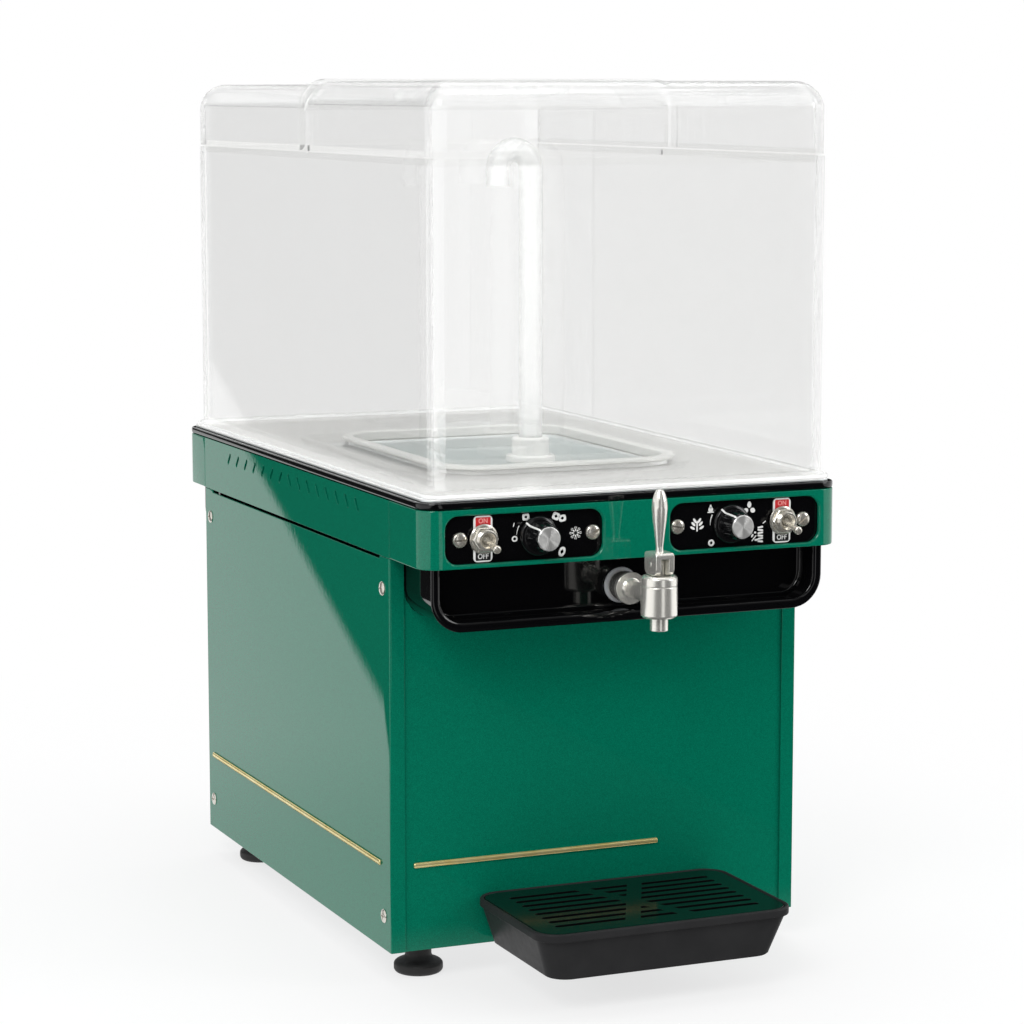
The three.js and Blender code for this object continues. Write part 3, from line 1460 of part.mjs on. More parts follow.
// Lever: z counts up from its pin; the block's lower corners roll on the barrel's top
function tapLever() {
  const [d, r, rise] = [leverBlockDepth / 2, leverBlockCorner, leverBlockRise];
  const drop = pinRise - seatGap;
  const side = new THREE.Shape();
  side.moveTo(d - sheet, rise);
  side.quadraticCurveTo(d, rise, d, rise - sheet);
  side.lineTo(d, -drop + r);
  side.absarc(d - r, -drop + r, r, 0, -Math.PI / 2, true);
  side.absarc(-d + r, -drop + r, r, -Math.PI / 2, -Math.PI, true);
  side.lineTo(-d, rise - sheet);
  side.quadraticCurveTo(-d, rise, -d + sheet, rise);
  side.closePath();
  const cheeks = slabAlongX(side, -leverBlockWidth / 2, leverBlockWidth / 2);
  const slot = block(-leverSlotWidth / 2, leverSlotWidth / 2, -d - overrun, d + overrun,
    -drop - overrun, leverSlotRise);
  const [root, grip, tip] = [leverRootDiameter / 2, leverGripDiameter / 2, leverTipDiameter / 2];
  const top = rise + leverRodLength;
  const swell = leverHeightShares.map((share, i) => [
    grip * leverRadiusShares[i], rise + leverRodLength * share,
  ]);
  const handle = turned([
    [0, rise - sheet], [root, rise - sheet], ...swell, [tip, top - tip / 2], [tip / 2, top], [0, top],
  ]);
  return join(cut(cheeks, slot, pinHole(0)), handle);
}

function leverPin() {
  return rod(pinDiameter, -leverBlockWidth / 2, leverBlockWidth / 2, smallSides).rotateY(Math.PI / 2);
}

function drainTube() {
  const bore = spigotDiameter + 2 * shaftGap;
  const y0 = dishFace + tapShankLength - drainTubeOverlap;
  const y1 = wellFront - wellSheet - seatGap - coilGap;
  return ringAlongY(drainTubeDiameter, bore, y0, y1, sheet / 2);
}

// Drip tray: tapered walls, a rim that stands proud, a ledge for the grille

function traySection(halfWidth, frontY, corner, inset, z) {
  const [width, rear, front] = [2 * (halfWidth - inset), trayRear - inset, frontY + inset];
  const shape = roundedRect(width, rear - front, Math.max(corner - inset, sheet), 0, (rear + front) / 2);
  return { points: outline(shape), z };
}

function dripTray() {
  const wallHalf = trayRimHalf - trayRimProud;
  const wallFront = trayFront + trayRimProud;
  const low = (inset, z) => traySection(trayBottomHalf, -trayBottomFront, trayCorner, inset, z);
  const high = (inset, z) => traySection(wallHalf, wallFront, trayCorner, inset, z);
  const rim = (inset, z) => traySection(trayRimHalf, trayFront, trayCorner + trayRimProud, inset, z);
  const edge = trayWall / 2;
  const rimBase = trayTop - trayRimHeight;
  const outer = loft([low(edge, trayBottom), low(0, trayBottom + edge), high(0, rimBase + seatGap)]);
  const band = loft([
    rim(edge / 2, rimBase), rim(0, rimBase + edge / 2), rim(0, trayTop - edge), rim(edge, trayTop),
  ]);
  const ledgeTop = trayTop - grilleThickness - 2 * seatGap;
  const pocket = loft([rim(trayWall, ledgeTop), rim(trayWall, trayTop + overrun)]);
  const inside = loft([
    low(trayWall + edge, trayBottom + trayWall), low(trayWall, trayBottom + trayWall + edge),
    high(trayWall + trayLedge - trayRimProud, ledgeTop + seatGap),
  ]);
  return cut(join(outer, band), inside, pocket);
}

// Grille: rows of slots, with a solid cross in the middle where the glass stands
function dripGrille() {
  const section = traySection(trayRimHalf, trayFront, trayCorner + trayRimProud, trayWall + grilleGap, 0);
  const z0 = trayTop - grilleThickness - seatGap;
  const plate = slab(new THREE.Shape(section.points), z0, z0 + grilleThickness);
  const centreY = (trayRear + trayFront) / 2;
  const slots = [];
  const reach = ((grilleSlotRows - 1) / 2) * grilleSlotPitch;
  for (let row = 0; row < grilleSlotRows; row += 1) {
    const y = centreY - reach + row * grilleSlotPitch;
    const slot = slotShape(2 * grilleSlotHalfLength, grilleSlotWidth, 0, y);
    slots.push(slab(slot, z0 - overrun, z0 + grilleThickness + overrun));
  }
  const bandAngle = Math.atan2(reach + grilleSlotPitch, grilleCrossHalfWidth);
  const crossLength = 2 * (reach + grilleSlotPitch) / Math.sin(bandAngle);
  const bands = [-1, 1].map((side) => block(-crossLength / 2, crossLength / 2, -grilleCrossBand / 2,
    grilleCrossBand / 2, z0 - 2 * overrun, z0 + grilleThickness + 2 * overrun)
    .rotateZ(side * bandAngle).translate(0, centreY, 0));
  const cutter = cut(join(...slots), ...bands);
  return cut(plate, cutter);
}

// Tray bracket: a plate under the base with two arms, joggled up to the tray's underside
function trayBracket() {
  const under = footHeight - seatGap;
  const armTop = trayBottom - seatGap;
  const root = block(-bracketArmX - bracketArmWidth / 2, bracketArmX + bracketArmWidth / 2,
    bracketRoot - bracketBar, bracketRoot, under - bracketSheet, under);
  const profile = new THREE.Shape();
  const rise = armTop - under;
  profile.moveTo(bracketRoot, under - bracketSheet);
  profile.lineTo(bracketRoot, under);
  profile.lineTo(-seatGap, under);
  profile.lineTo(-seatGap - rise, armTop);
  profile.lineTo(-bracketReach, armTop);
  profile.lineTo(-bracketReach, armTop - bracketSheet);
  profile.lineTo(-seatGap - rise - bracketSheet / 2, armTop - bracketSheet);
  profile.lineTo(-seatGap - bracketSheet / 2, under - bracketSheet);
  profile.closePath();
  const arms = [-bracketArmX, bracketArmX].map((x) =>
    slabAlongX(profile, x - bracketArmWidth / 2, x + bracketArmWidth / 2));
  return join(root, ...arms);
}

// Gold strips

function frontStrip() {
  return block(stripFrontInset - half, half - stripFrontRoom,
    panelFace - seatGap - stripThickness, panelFace - seatGap,
    stripCentre - stripHeight / 2, stripCentre + stripHeight / 2);
}

function sideStrip(side) {
  const [a, b] = [side * (half + seatGap), side * (half + seatGap + stripThickness)];
  return block(Math.min(a, b), Math.max(a, b), stripSideFrontInset, cabinetDepth - stripSideRearInset,
    stripCentre - stripHeight / 2, stripCentre + stripHeight / 2);
}

// Assembly: cabinet and collar

addPiece('base_plate', basePlate(), galvanised);
for (const [place, x, y] of footPlaces()) {
  addPiece(`foot_${place}`, foot(), blackRubber, addGroup(x, y, 0));
}
for (const [place, side] of [['left', -1], ['right', 1]]) {
  addPiece(`side_panel_${place}`, sidePanel(side), greenPaint);
  addPiece(`vent_band_${place}`, ventBand(side), greenPaint);
  addPiece(`side_strip_${place}`, sideStrip(side), goldBrass);
}
addPiece('front_panel', endPanel(), greenPaint);
addPiece('front_strip', frontStrip(), goldBrass);
addPiece('rear_panel', rearPanel(), greenPaint);
const glandPlace = addGroup(glandX, cabinetDepth - panelFace, footHeight + glandHeight);
addPiece('cable_gland', cableGland(), blackRubber, glandPlace);
addPiece('collar_front', collarFrontPiece(), greenPaint);
addPiece('collar_rear', collarRearPiece(), greenPaint);

// Assembly: tub, well, bowl and lids
addPiece('tub', tub(), glossBlack);
addPiece('foam_insulation', foamInsulation(), foam);
addPiece('cold_well', coldWell(), satinSteel);
addPiece('evaporator_coil', evaporatorCoil(), copper);
addPiece('well_seal', wellSeal(), whitePlastic);
addPiece('bowl', bowl(), clearPlastic);
addPiece('front_lid', frontLid(), clearPlastic);
addPiece('rear_lid', rearLid(), clearPlastic);
addPiece('drain_tube', drainTube(), paleRubber, addGroup(0, 0, tapHeight));

// Assembly: spray pump and its drive
const pumpAxis = addGroup(0, pumpY, 0);
addPiece('pump_cover', pumpCover(), whitePlastic, pumpAxis);
addPiece('spray_tube', sprayTube(), clearPlastic, pumpAxis);
addPiece('impeller', impeller(), whitePlastic, addGroup(0, 0, wellFloorTop + 2 * seatGap, pumpAxis));
const magnetHeight = wellFloorBottom - seatGap - magnetThickness;
addPiece('drive_magnet', driveMagnet(), magnetGrey, addGroup(0, 0, magnetHeight, pumpAxis));
addPiece('pump_motor', pumpMotor(), blackEnamel, addGroup(0, 0, tubBottom - seatGap, pumpAxis));

// Assembly: cooling machinery
addPiece('condenser', condenser(), aluminium, addGroup(0, condenserInset, 0));
addPiece('fan_shroud', fanShroud(), galvanised, addGroup(0, condenserInset + condenserDepth + seatGap, 0));
const fanAxis = addGroup(0, fanPlane(), fanCentreHeight());
addPiece('fan_motor', fanMotor(fanCentreHeight() - machineFloor), blackEnamel, fanAxis);
addPiece('condenser_fan', condenserFan(), aluminium, addGroup(0, -fanClearance, 0, fanAxis));
const [compressorAtX, compressorAtY] = compressorPlace();
addPiece('compressor', compressor(), blackEnamel, addGroup(compressorAtX, compressorAtY, machineFloor));
addPiece('suction_line', suctionLine(), copper);
addPiece('discharge_line', dischargeLine(), copper);
addPiece('liquid_line', liquidLine(), copper);

// Assembly: controls
for (const [place, side, rotary, knobName] of [
  ['left', -1, 'thermostat', 'thermostat_knob'], ['right', 1, 'spray_selector', 'spray_knob'],
]) {
  const plateY = collarFront + fasciaThickness + seatGap;
  const panel = addGroup(side * plateOffset, plateY, collarTop - plateDrop);
  addPiece(`control_plate_${place}`, controlPlate(side), glossBlack, panel);
  const togglePlace = addGroup(side * toggleOffset, 0, 0, panel);
  addPiece(`toggle_switch_${place}`, toggleSwitch(), satinSteel, togglePlace);
  const bat = addPiece(`toggle_lever_${place}`, toggleLever(), satinSteel, togglePlace);
  bat.position.y = -(bushingLength - batPivotDepth);
  bat.rotation.x = THREE.MathUtils.degToRad(batTiltDegrees);
  const knobPlace = addGroup(side * knobOffset, 0, 0, panel);
  addPiece(rotary, rotaryControl(), galvanised, knobPlace);
  addPiece(knobName, knob(), glossBlack, knobPlace);
  addPiece(`${knobName}_cap`, knobCap(), aluminium, knobPlace);
}

// Assembly: tap
const tap = addGroup(0, tapY, tapHeight);
addPiece('tap_body', tapBody(), satinSteel, tap);
addPiece('tap_gasket', tapGasket(), paleRubber, tap);
addPiece('tap_nut', tapNut(), satinSteel, tap);
addPiece('valve_stem', valveStem(), satinSteel, tap);
const leverPlace = addGroup(0, 0, pinHeight(), tap);
addPiece('tap_lever', tapLever(), satinSteel, leverPlace);
addPiece('lever_pin', leverPin(), satinSteel, leverPlace);

// Assembly: drip tray
addPiece('drip_tray', dripTray(), trayPlastic);
addPiece('drip_grille', dripGrille(), glossBlack);
addPiece('tray_bracket', trayBracket(), galvanised);

export default model;
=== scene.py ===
import math
import bpy
import bmesh
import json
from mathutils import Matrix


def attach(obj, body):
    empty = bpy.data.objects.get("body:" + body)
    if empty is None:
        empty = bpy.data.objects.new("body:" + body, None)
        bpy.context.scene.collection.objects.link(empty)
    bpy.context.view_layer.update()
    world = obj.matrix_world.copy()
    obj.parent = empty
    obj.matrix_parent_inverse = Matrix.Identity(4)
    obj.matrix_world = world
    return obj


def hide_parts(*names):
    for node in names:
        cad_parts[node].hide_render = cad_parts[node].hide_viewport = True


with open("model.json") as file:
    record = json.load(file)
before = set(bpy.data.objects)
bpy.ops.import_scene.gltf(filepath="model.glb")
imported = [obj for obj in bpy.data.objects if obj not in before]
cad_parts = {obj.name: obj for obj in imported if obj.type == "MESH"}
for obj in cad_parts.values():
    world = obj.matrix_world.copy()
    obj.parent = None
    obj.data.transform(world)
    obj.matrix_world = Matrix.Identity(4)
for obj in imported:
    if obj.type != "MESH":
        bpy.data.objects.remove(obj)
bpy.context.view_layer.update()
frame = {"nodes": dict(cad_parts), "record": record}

MM = 0.001
TURN = 2 * math.pi
SIDES = ((-1, "left"), (1, "right"))

# Places shared by several pieces, in millimetres

BOWL_Y, BOWL_HALF = 23.5, 127.6
WELL_Y = -0.5
PUMP_Y = -42.5
TAP_Y, TAP_Z = -229.0, 239.0
PIN_Z = 259.0
PLATE_Y, CONTROL_Z = -196.2, 274.85
WINDOW_X, TOGGLE_X, KNOB_X = 71.35, 96.85, 62.45
COLLAR_LOW, COLLAR_HIGH = 258.3, 292.6
RIM_Y = 25.25
FRONT_Y = -144.3

# Camera at the photograph's angle

CAMERA_AT = (-0.7666, -1.8017, 0.5314)
CAMERA_TILT, CAMERA_TURN = 82.11, -23.2
LENS, SENSOR = 107.7, 36

scene = bpy.context.scene
scene.view_settings.view_transform = "Standard"
camera_data = bpy.data.cameras.new("camera")
camera_data.lens = LENS
camera_data.sensor_width = SENSOR
camera = bpy.data.objects.new("camera", camera_data)
scene.collection.objects.link(camera)
camera.location = CAMERA_AT
camera.rotation_euler = (math.radians(CAMERA_TILT), 0, math.radians(CAMERA_TURN))
scene.camera = camera


# Materials: each is made once and kept in LOOKS under its name

LOOKS = {}


class Graph:
    """A node tree with short ways to add nodes and links."""

    def __init__(self, tree):
        self.tree = tree
        tree.nodes.clear()

    def feed(self, socket, value):
        """Links another node's output or sets a constant."""
        if isinstance(value, bpy.types.NodeSocket):
            self.tree.links.new(value, socket)
        else:
            socket.default_value = value

    def node(self, kind, inputs=(), **attributes):
        made = self.tree.nodes.new(kind)
        for key, value in attributes.items():
            setattr(made, key, value)
        for key, value in dict(inputs).items():
            self.feed(made.inputs[key], value)
        return made

    def maths(self, operation, *values):
        return self.node("ShaderNodeMath", enumerate(values), operation=operation).outputs[0]

    def mix(self, share, first, second):
        return self.node("ShaderNodeMixShader", enumerate((share, first, second))).outputs[0]


class Shader(Graph):
    """One procedural material with a Principled surface."""

    def __init__(self, name, colour, roughness, **sockets):
        material = bpy.data.materials.new(name)
        LOOKS[name] = material
        material.use_nodes = True
        material.diffuse_color = (*colour, 1)
        super().__init__(material.node_tree)
        self.surface = self.node("ShaderNodeBsdfPrincipled",
                                 {"Base Color": (*colour, 1), "Roughness": roughness})
        for key, value in sockets.items():
            self.feed(self.surface.inputs[key.replace("_", " ").title().replace("Ior", "IOR")], value)
        self.output = self.node("ShaderNodeOutputMaterial", {"Surface": self.surface.outputs[0]})
        self.place = self.node("ShaderNodeTexCoord").outputs["Object"]

    def noise(self, scale, detail, stretch=None):
        place = self.place
        if stretch:
            place = self.node("ShaderNodeMapping", {"Vector": place, "Scale": stretch}).outputs["Vector"]
        made = self.node("ShaderNodeTexNoise", {"Vector": place, "Scale": scale, "Detail": detail})
        return made.outputs["Fac"]

    def cells(self, scale, what="Color"):
        return self.node("ShaderNodeTexVoronoi", {"Vector": self.place, "Scale": scale}).outputs[what]

    def roughness(self, value, low, high):
        made = self.node("ShaderNodeMapRange", {"Value": value, "To Min": low, "To Max": high})
        self.feed(self.surface.inputs["Roughness"], made.outputs["Result"])

    def tones(self, value, first, second, start=0.3, end=0.7):
        ramp = self.node("ShaderNodeValToRGB", {"Fac": value})
        for element, position, colour in zip(ramp.color_ramp.elements, (start, end), (first, second)):
            element.position = position
            element.color = (*colour, 1)
        self.feed(self.surface.inputs["Base Color"], ramp.outputs["Color"])

    def bump(self, height, strength, distance, onto="Normal"):
        made = self.node("ShaderNodeBump", {"Height": height, "Strength": strength, "Distance": distance})
        self.feed(self.surface.inputs[onto], made.outputs["Normal"])


def grained(name, colour, grain, relief=None, tones=None, **sockets):
    """Noise on roughness (scale, detail, low, high), relief (scale, detail, strength, depth)
    and colour (scale, detail, dark, pale). A last triple in the first two stretches the noise."""
    scale, detail, low, high, *stretch = grain
    made = Shader(name, colour, (low + high) / 2, **sockets)
    made.roughness(made.noise(scale, detail, *stretch), low, high)
    if relief:
        scale, detail, strength, depth, *stretch = relief
        made.bump(made.noise(scale, detail, *stretch), strength, depth)
    if tones:
        scale, detail, dark, pale = tones
        made.tones(made.noise(scale, detail), dark, pale)
    return made


def green_paint():
    made = Shader("green_paint", (0.0015, 0.158, 0.092), 0.4, metallic=0.14, coat_weight=1,
                  coat_roughness=0.01, coat_ior=1.47, specular_ior_level=0.0,
                  specular_tint=(0.0, 0.3, 0.2, 1))
    flakes = 3200
    made.tones(made.cells(flakes), (0.001, 0.128, 0.076), (0.002, 0.196, 0.114), 0.2, 0.8)
    made.bump(made.cells(flakes), 0.16, 0.0001)
    made.bump(made.noise(330, 2), 0.009, 0.0006, "Coat Normal")


def satin_steel(name, metallic, low, high):
    grained(name, (0.92, 0.9, 0.84), (900, 3, low, high, (1, 1, 0.08)),
            (1500, 2, 0.02, 0.00008, (1, 1, 0.05)), metallic=metallic, anisotropic=0.3)


def pressed_steel(name, colour, metallic):
    grained(name, colour, (700, 3, 0.25, 0.42, (0.05, 1, 1)), (1200, 2, 0.06, 0.0001, (0.04, 1, 1)),
            metallic=metallic, anisotropic=0.3)


def spun_aluminium():
    made = grained("spun_aluminium", (0.95, 0.95, 0.93), (2500, 2, 0.3, 0.42), metallic=0.84,
                   anisotropic=0.96, anisotropic_rotation=0.25)
    tangent = made.node("ShaderNodeTangent", direction_type="RADIAL", axis="Y")
    made.feed(made.surface.inputs["Tangent"], tangent.outputs["Tangent"])


def galvanised_steel():
    made = Shader("galvanised_steel", (0.45, 0.48, 0.49), 0.43, metallic=1)
    made.tones(made.cells(130), (0.36, 0.39, 0.4), (0.55, 0.58, 0.59), 0.1, 0.9)
    made.roughness(made.cells(130, "Distance"), 0.34, 0.52)


def foam():
    made = Shader("foam", (0.8, 0.72, 0.48), 0.9)
    made.tones(made.noise(120, 4), (0.72, 0.62, 0.38), (0.86, 0.79, 0.56))
    made.bump(made.cells(700, "Distance"), 0.4, 0.0006)


def clear_plastic(name, straight, white, ior, clear):
    """Straight is the share of light that passes unbent, white the milky share, clear its brightness."""
    made = Shader(name, (0.985, 0.99, 0.99), 0.012, transmission_weight=1 - white, ior=ior)
    made.bump(made.noise(9, 2), 0.006, 0.002)
    shadow = made.node("ShaderNodeLightPath").outputs["Is Shadow Ray"]
    through = made.node("ShaderNodeBsdfTransparent", {"Color": (clear, clear, clear - 0.002, 1)})
    mixed = made.mix(made.maths("MAXIMUM", shadow, straight), made.surface.outputs[0], through.outputs[0])
    made.feed(made.output.inputs["Surface"], mixed)


green_paint()
satin_steel("satin_steel", 0.8, 0.19, 0.25)
satin_steel("bright_steel", 0.9, 0.11, 0.16)
# The deck and the basin are one stainless pressing: the basin's copy is darker, painted shade of the recess,
# and the deck's copy paler and less metallic, painted light on the top.
pressed_steel("well_steel_painted_shade", (0.8, 0.83, 0.825), 0.72)
pressed_steel("deck_steel_painted_light", (0.93, 0.93, 0.915), 0.42)
spun_aluminium()
galvanised_steel()
foam()
clear_plastic("clear_plastic", 0.84, 0.0, 1.24, 0.97)
clear_plastic("clear_lip", 0.96, 0.0, 1.24, 0.99)
clear_plastic("clear_tube", 0.45, 0.24, 1.45, 0.985)
# Copy for the rounded corners of the bowl and lids: it refracts more, as the plastic does, and is a little
# milky, a painted highlight that makes the corners read as pale lines.
clear_plastic("clear_bend_painted_highlight", 0.5, 0.07, 1.42, 0.985)
# Milky copy of the clear plastic for the flange's rim: a painted highlight that makes the rim read as a pale
# line.
clear_plastic("clear_edge_painted_highlight", 0.1, 0.6, 1.45, 0.985)
grained("gloss_black", (0.0022, 0.0022, 0.0026), (60, 4, 0.03, 0.08), (260, 2, 0.012, 0.0004),
        coat_weight=0.3, coat_roughness=0.02, specular_ior_level=0.35)
grained("knob_black", (0.004, 0.004, 0.0045), (300, 3, 0.08, 0.2), (900, 2, 0.04, 0.0002))
grained("grille_black", (0.003, 0.0033, 0.0035), (120, 3, 0.1, 0.2), (420, 2, 0.05, 0.0004),
        specular_ior_level=0.25)
grained("black_enamel", (0.006, 0.006, 0.007), (200, 4, 0.26, 0.42), (500, 3, 0.08, 0.0003),
        coat_weight=0.3, coat_roughness=0.15)
grained("black_rubber", (0.009, 0.009, 0.009), (250, 4, 0.45, 0.68), (900, 4, 0.15, 0.0003))
grained("charcoal_plastic", (0.023, 0.023, 0.024), (180, 4, 0.3, 0.46), (1300, 3, 0.12, 0.00025),
        (45, 3, (0.021, 0.021, 0.022), (0.026, 0.026, 0.0268)), specular_ior_level=0.08)
grained("white_plastic", (0.82, 0.82, 0.8), (300, 3, 0.24, 0.38), (700, 2, 0.03, 0.0002),
        coat_weight=0.2, coat_roughness=0.1)
grained("pale_seal", (0.66, 0.66, 0.64), (300, 3, 0.34, 0.5), (700, 2, 0.03, 0.0002))
grained("pale_rubber", (0.78, 0.8, 0.82), (400, 3, 0.34, 0.5), (600, 2, 0.05, 0.0002),
        transmission_weight=0.4, ior=1.3)
grained("nickel_plate", (0.78, 0.74, 0.66), (500, 3, 0.15, 0.24), None,
        (240, 2, (0.7, 0.65, 0.56), (0.84, 0.82, 0.76)), metallic=0.8)
grained("gold_brass", (0.9, 0.72, 0.36), (800, 3, 0.16, 0.3, (0.05, 0.05, 1)), None,
        (90, 3, (0.86, 0.7, 0.27), (0.97, 0.86, 0.45)), metallic=0.7)
grained("copper", (0.62, 0.3, 0.17), (300, 3, 0.22, 0.42), None,
        (70, 4, (0.5, 0.22, 0.12), (0.7, 0.37, 0.22)), metallic=1)
grained("aluminium", (0.68, 0.69, 0.69), (400, 3, 0.28, 0.44), (900, 2, 0.08, 0.0001, (1, 1, 0.1)),
        metallic=1)
grained("magnet_grey", (0.045, 0.048, 0.05), (500, 4, 0.5, 0.72), (900, 3, 0.1, 0.0002), metallic=0.4)
for ink, colour in (("red_print", (0.55, 0.01, 0.014)), ("pink_print", (0.85, 0.34, 0.32)),
                    ("white_print", (0.8, 0.8, 0.78)), ("black_print", (0.004, 0.004, 0.004))):
    grained(ink, colour, (900, 2, 0.36, 0.5))


# Carried-over nodes: material, soft edges and smooth shading

EDGE = {
    "side_panel_left": 0.9, "side_panel_right": 0.9, "front_panel": 0.7, "rear_panel": 0.6,
    "tray_bracket": 0.6, "base_plate": 0.5, "collar_rear": 0.6,
}
OTHER_EDGES, CAD_EDGE_ANGLE, EDGE_ANGLE = 0.25, 38, 40


def soften_edges(piece, width, segments, angle):
    bevel = piece.modifiers.new("soft_edges", "BEVEL")
    bevel.limit_method = "ANGLE"
    bevel.angle_limit = math.radians(angle)
    bevel.width = width * MM
    bevel.segments = segments


groups = {subpart["node"]: subpart["material_slot"] for subpart in frame["record"]["subparts"]}
for node_name, node in frame["nodes"].items():
    mesh = node.data
    mesh.materials.clear()
    mesh.materials.append(LOOKS[groups[node_name]])
    for attribute in [a for a in mesh.attributes if a.name == "custom_normal"]:
        mesh.attributes.remove(attribute)
    mesh.polygons.foreach_set("use_smooth", [True] * len(mesh.polygons))
    node.modifiers.new("weld", "WELD").merge_threshold = 0.00001
    soften_edges(node, EDGE.get(node_name, OTHER_EDGES), 2, CAD_EDGE_ANGLE)
    node.modifiers.new("even_shading", "WEIGHTED_NORMAL")


# Mesh helpers, all in millimetres

def heading(degrees):
    return math.cos(math.radians(degrees)), math.sin(math.radians(degrees))


def circle(steps):
    """Cosine and sine at even steps of a full turn."""
    return [(math.cos(TURN * step / steps), math.sin(TURN * step / steps)) for step in range(steps)]


def quarter(radius, start=0, end=90, steps=6):
    """(cosine, sine) pairs times radius from angle start to end in degrees."""
    return [(radius * c, radius * s) for c, s in
            (heading(start + (end - start) * step / steps) for step in range(steps + 1))]


def rounded(width, length, radius, x=0.0, y=0.0, steps=10):
    """Corner points of a rounded rectangle, anticlockwise."""
    return [(x + sx * (width / 2 - radius) + c, y + sy * (length / 2 - radius) + s)
            for corner, (sx, sy) in enumerate(((1, 1), (-1, 1), (-1, -1), (1, -1)))
            for c, s in quarter(radius, 90 * corner, 90 * (corner + 1), steps)]


def flat(points, z):
    return [(x, y, z) for x, y in points]


def upright(points, y):
    return [(x, y, z) for x, z in points]


def sideways(points, x):
    return [(x, y, z) for y, z in points]


def drawn_in(width, length, radius, y, steps=10):
    """Function of (inset, height) that gives the rounded outline drawn in by the inset, at the height."""
    def ring(inset, z):
        return flat(rounded(width - 2 * inset, length - 2 * inset, radius - inset, 0, y, steps), z)
    return ring


def cup(half, low, top, radius):
    """U shape with round lower corners, from its left end to its right end."""
    corner = quarter(radius, steps=10)
    return ([(-half, top)] + [(-half + radius - x, low + radius - z) for x, z in corner]
            + [(half - radius + x, low + radius - z) for x, z in reversed(corner)] + [(half, top)])


def loft(rings, wrap=False, caps=(True, True)):
    """Skin over rings of equal count."""
    count = len(rings[0])
    points = [p for ring in rings for p in ring]
    faces = []
    for i in range(len(rings) if wrap else len(rings) - 1):
        a, b = i * count, ((i + 1) % len(rings)) * count
        for j in range(count):
            k = (j + 1) % count
            faces.append((a + j, a + k, b + k, b + j))
    if not wrap and caps[0]:
        faces.append(tuple(range(count)))
    if not wrap and caps[1]:
        faces.append(tuple(range(len(points) - count, len(points))))
    return points, faces


def turned(profile, at, axis="Z", steps=56, wrap=False):
    """Profile of (radius, height) turned about an axis; forward heights run towards -Y."""
    rings = []
    for radius, height in profile:
        around = [(c * radius, s * radius) for c, s in circle(steps)]
        if axis == "Z":
            rings.append([(at[0] + c, at[1] + s, at[2] + height) for c, s in around])
        elif axis == "Y":
            rings.append([(at[0] + c, at[1] - height, at[2] + s) for c, s in around])
        else:
            rings.append([(at[0] + height, at[1] + c, at[2] + s) for c, s in around])
    return loft(rings, wrap)


def tipped(shape, at, degrees):
    """Turned about the X direction through at; a forward part goes down."""
    c, s = heading(degrees)
    points = [(x, at[1] + (y - at[1]) * c - (z - at[2]) * s, at[2] + (y - at[1]) * s + (z - at[2]) * c)
              for x, y, z in shape[0]]
    return points, shape[1]


def leaning(points, x, z, degrees):
    """Flat points turned by degrees and moved to x and z."""
    c, s = heading(degrees)
    return [(x + u * c - v * s, z + u * s + v * c) for u, v in points]


def box_corners(half_width, half_height):
    return [(-half_width, -half_height), (half_width, -half_height), (half_width, half_height),
            (-half_width, half_height)]


def prism(points, y0, y1):
    """Flat shape in the upright plane between two depths."""
    return loft([upright(points, y0), upright(points, y1)])


def swell(x, z, width, height, power=2.0, lean=0.0, steps=28):
    """Outline between a diamond (power 1), an oval (2) and a soft square (4), leaning left by degrees."""
    outline = [(math.copysign(abs(a) ** (2 / power), a) * width / 2,
                math.copysign(abs(b) ** (2 / power), b) * height / 2) for a, b in circle(steps)]
    return leaning(outline, x, z, lean)


def soften(profile, radius, steps=3):
    """Rounds the inner corners of an open (radius, height) profile."""
    out = [profile[0]]
    for before, here, after in zip(profile, profile[1:], profile[2:]):
        ends = []
        lengths = [math.dist(here, other) for other in (before, after)]
        reach = min(radius, *(length * 0.45 for length in lengths))
        for other, length in zip((before, after), lengths):
            ends.append([here[i] + (other[i] - here[i]) / length * reach for i in range(2)])
        for step in range(steps + 1):
            t = step / steps
            out.append(tuple((1 - t) ** 2 * ends[0][i] + 2 * t * (1 - t) * here[i] + t * t * ends[1][i]
                             for i in range(2)))
    out.append(profile[-1])
    return out


def combine(*shapes):
    points, faces = [], []
    for shape_points, shape_faces in shapes:
        base = len(points)
        points += shape_points
        faces += [tuple(i + base for i in face) for face in shape_faces]
    return points, faces


def object_of(name, shape):
    mesh = bpy.data.meshes.new(name)
    mesh.from_pydata([tuple(c * MM for c in p) for p in shape[0]], [], shape[1])
    work = bmesh.new()
    work.from_mesh(mesh)
    bmesh.ops.remove_doubles(work, verts=work.verts, dist=1e-7)
    bmesh.ops.recalc_face_normals(work, faces=work.faces)
    work.to_mesh(mesh)
    work.free()
    made = bpy.data.objects.new(name, mesh)
    scene.collection.objects.link(made)
    return made


def carve(target, *tools, operation="DIFFERENCE"):
    """Exact Boolean with each shape, kept in the mesh."""
    for tool_shape in tools:
        tool = object_of("tool", tool_shape)
        cutter = target.modifiers.new("cut", "BOOLEAN")
        cutter.operation = operation
        cutter.solver = "EXACT"
        cutter.object = tool
        bpy.context.view_layer.update()
        graph = bpy.context.evaluated_depsgraph_get()
        result = bpy.data.meshes.new_from_object(target.evaluated_get(graph))
        target.modifiers.clear()
        old = target.data
        target.data = result
        bpy.data.meshes.remove(old)
        bpy.data.objects.remove(tool)


def shape_of(made):
    """Points in millimetres and faces of an object, which is then deleted."""
    mesh = made.data
    points = [tuple(c / MM for c in vertex.co) for vertex in mesh.vertices]
    faces = [tuple(polygon.vertices) for polygon in mesh.polygons]
    bpy.data.objects.remove(made)
    bpy.data.meshes.remove(mesh)
    return points, faces


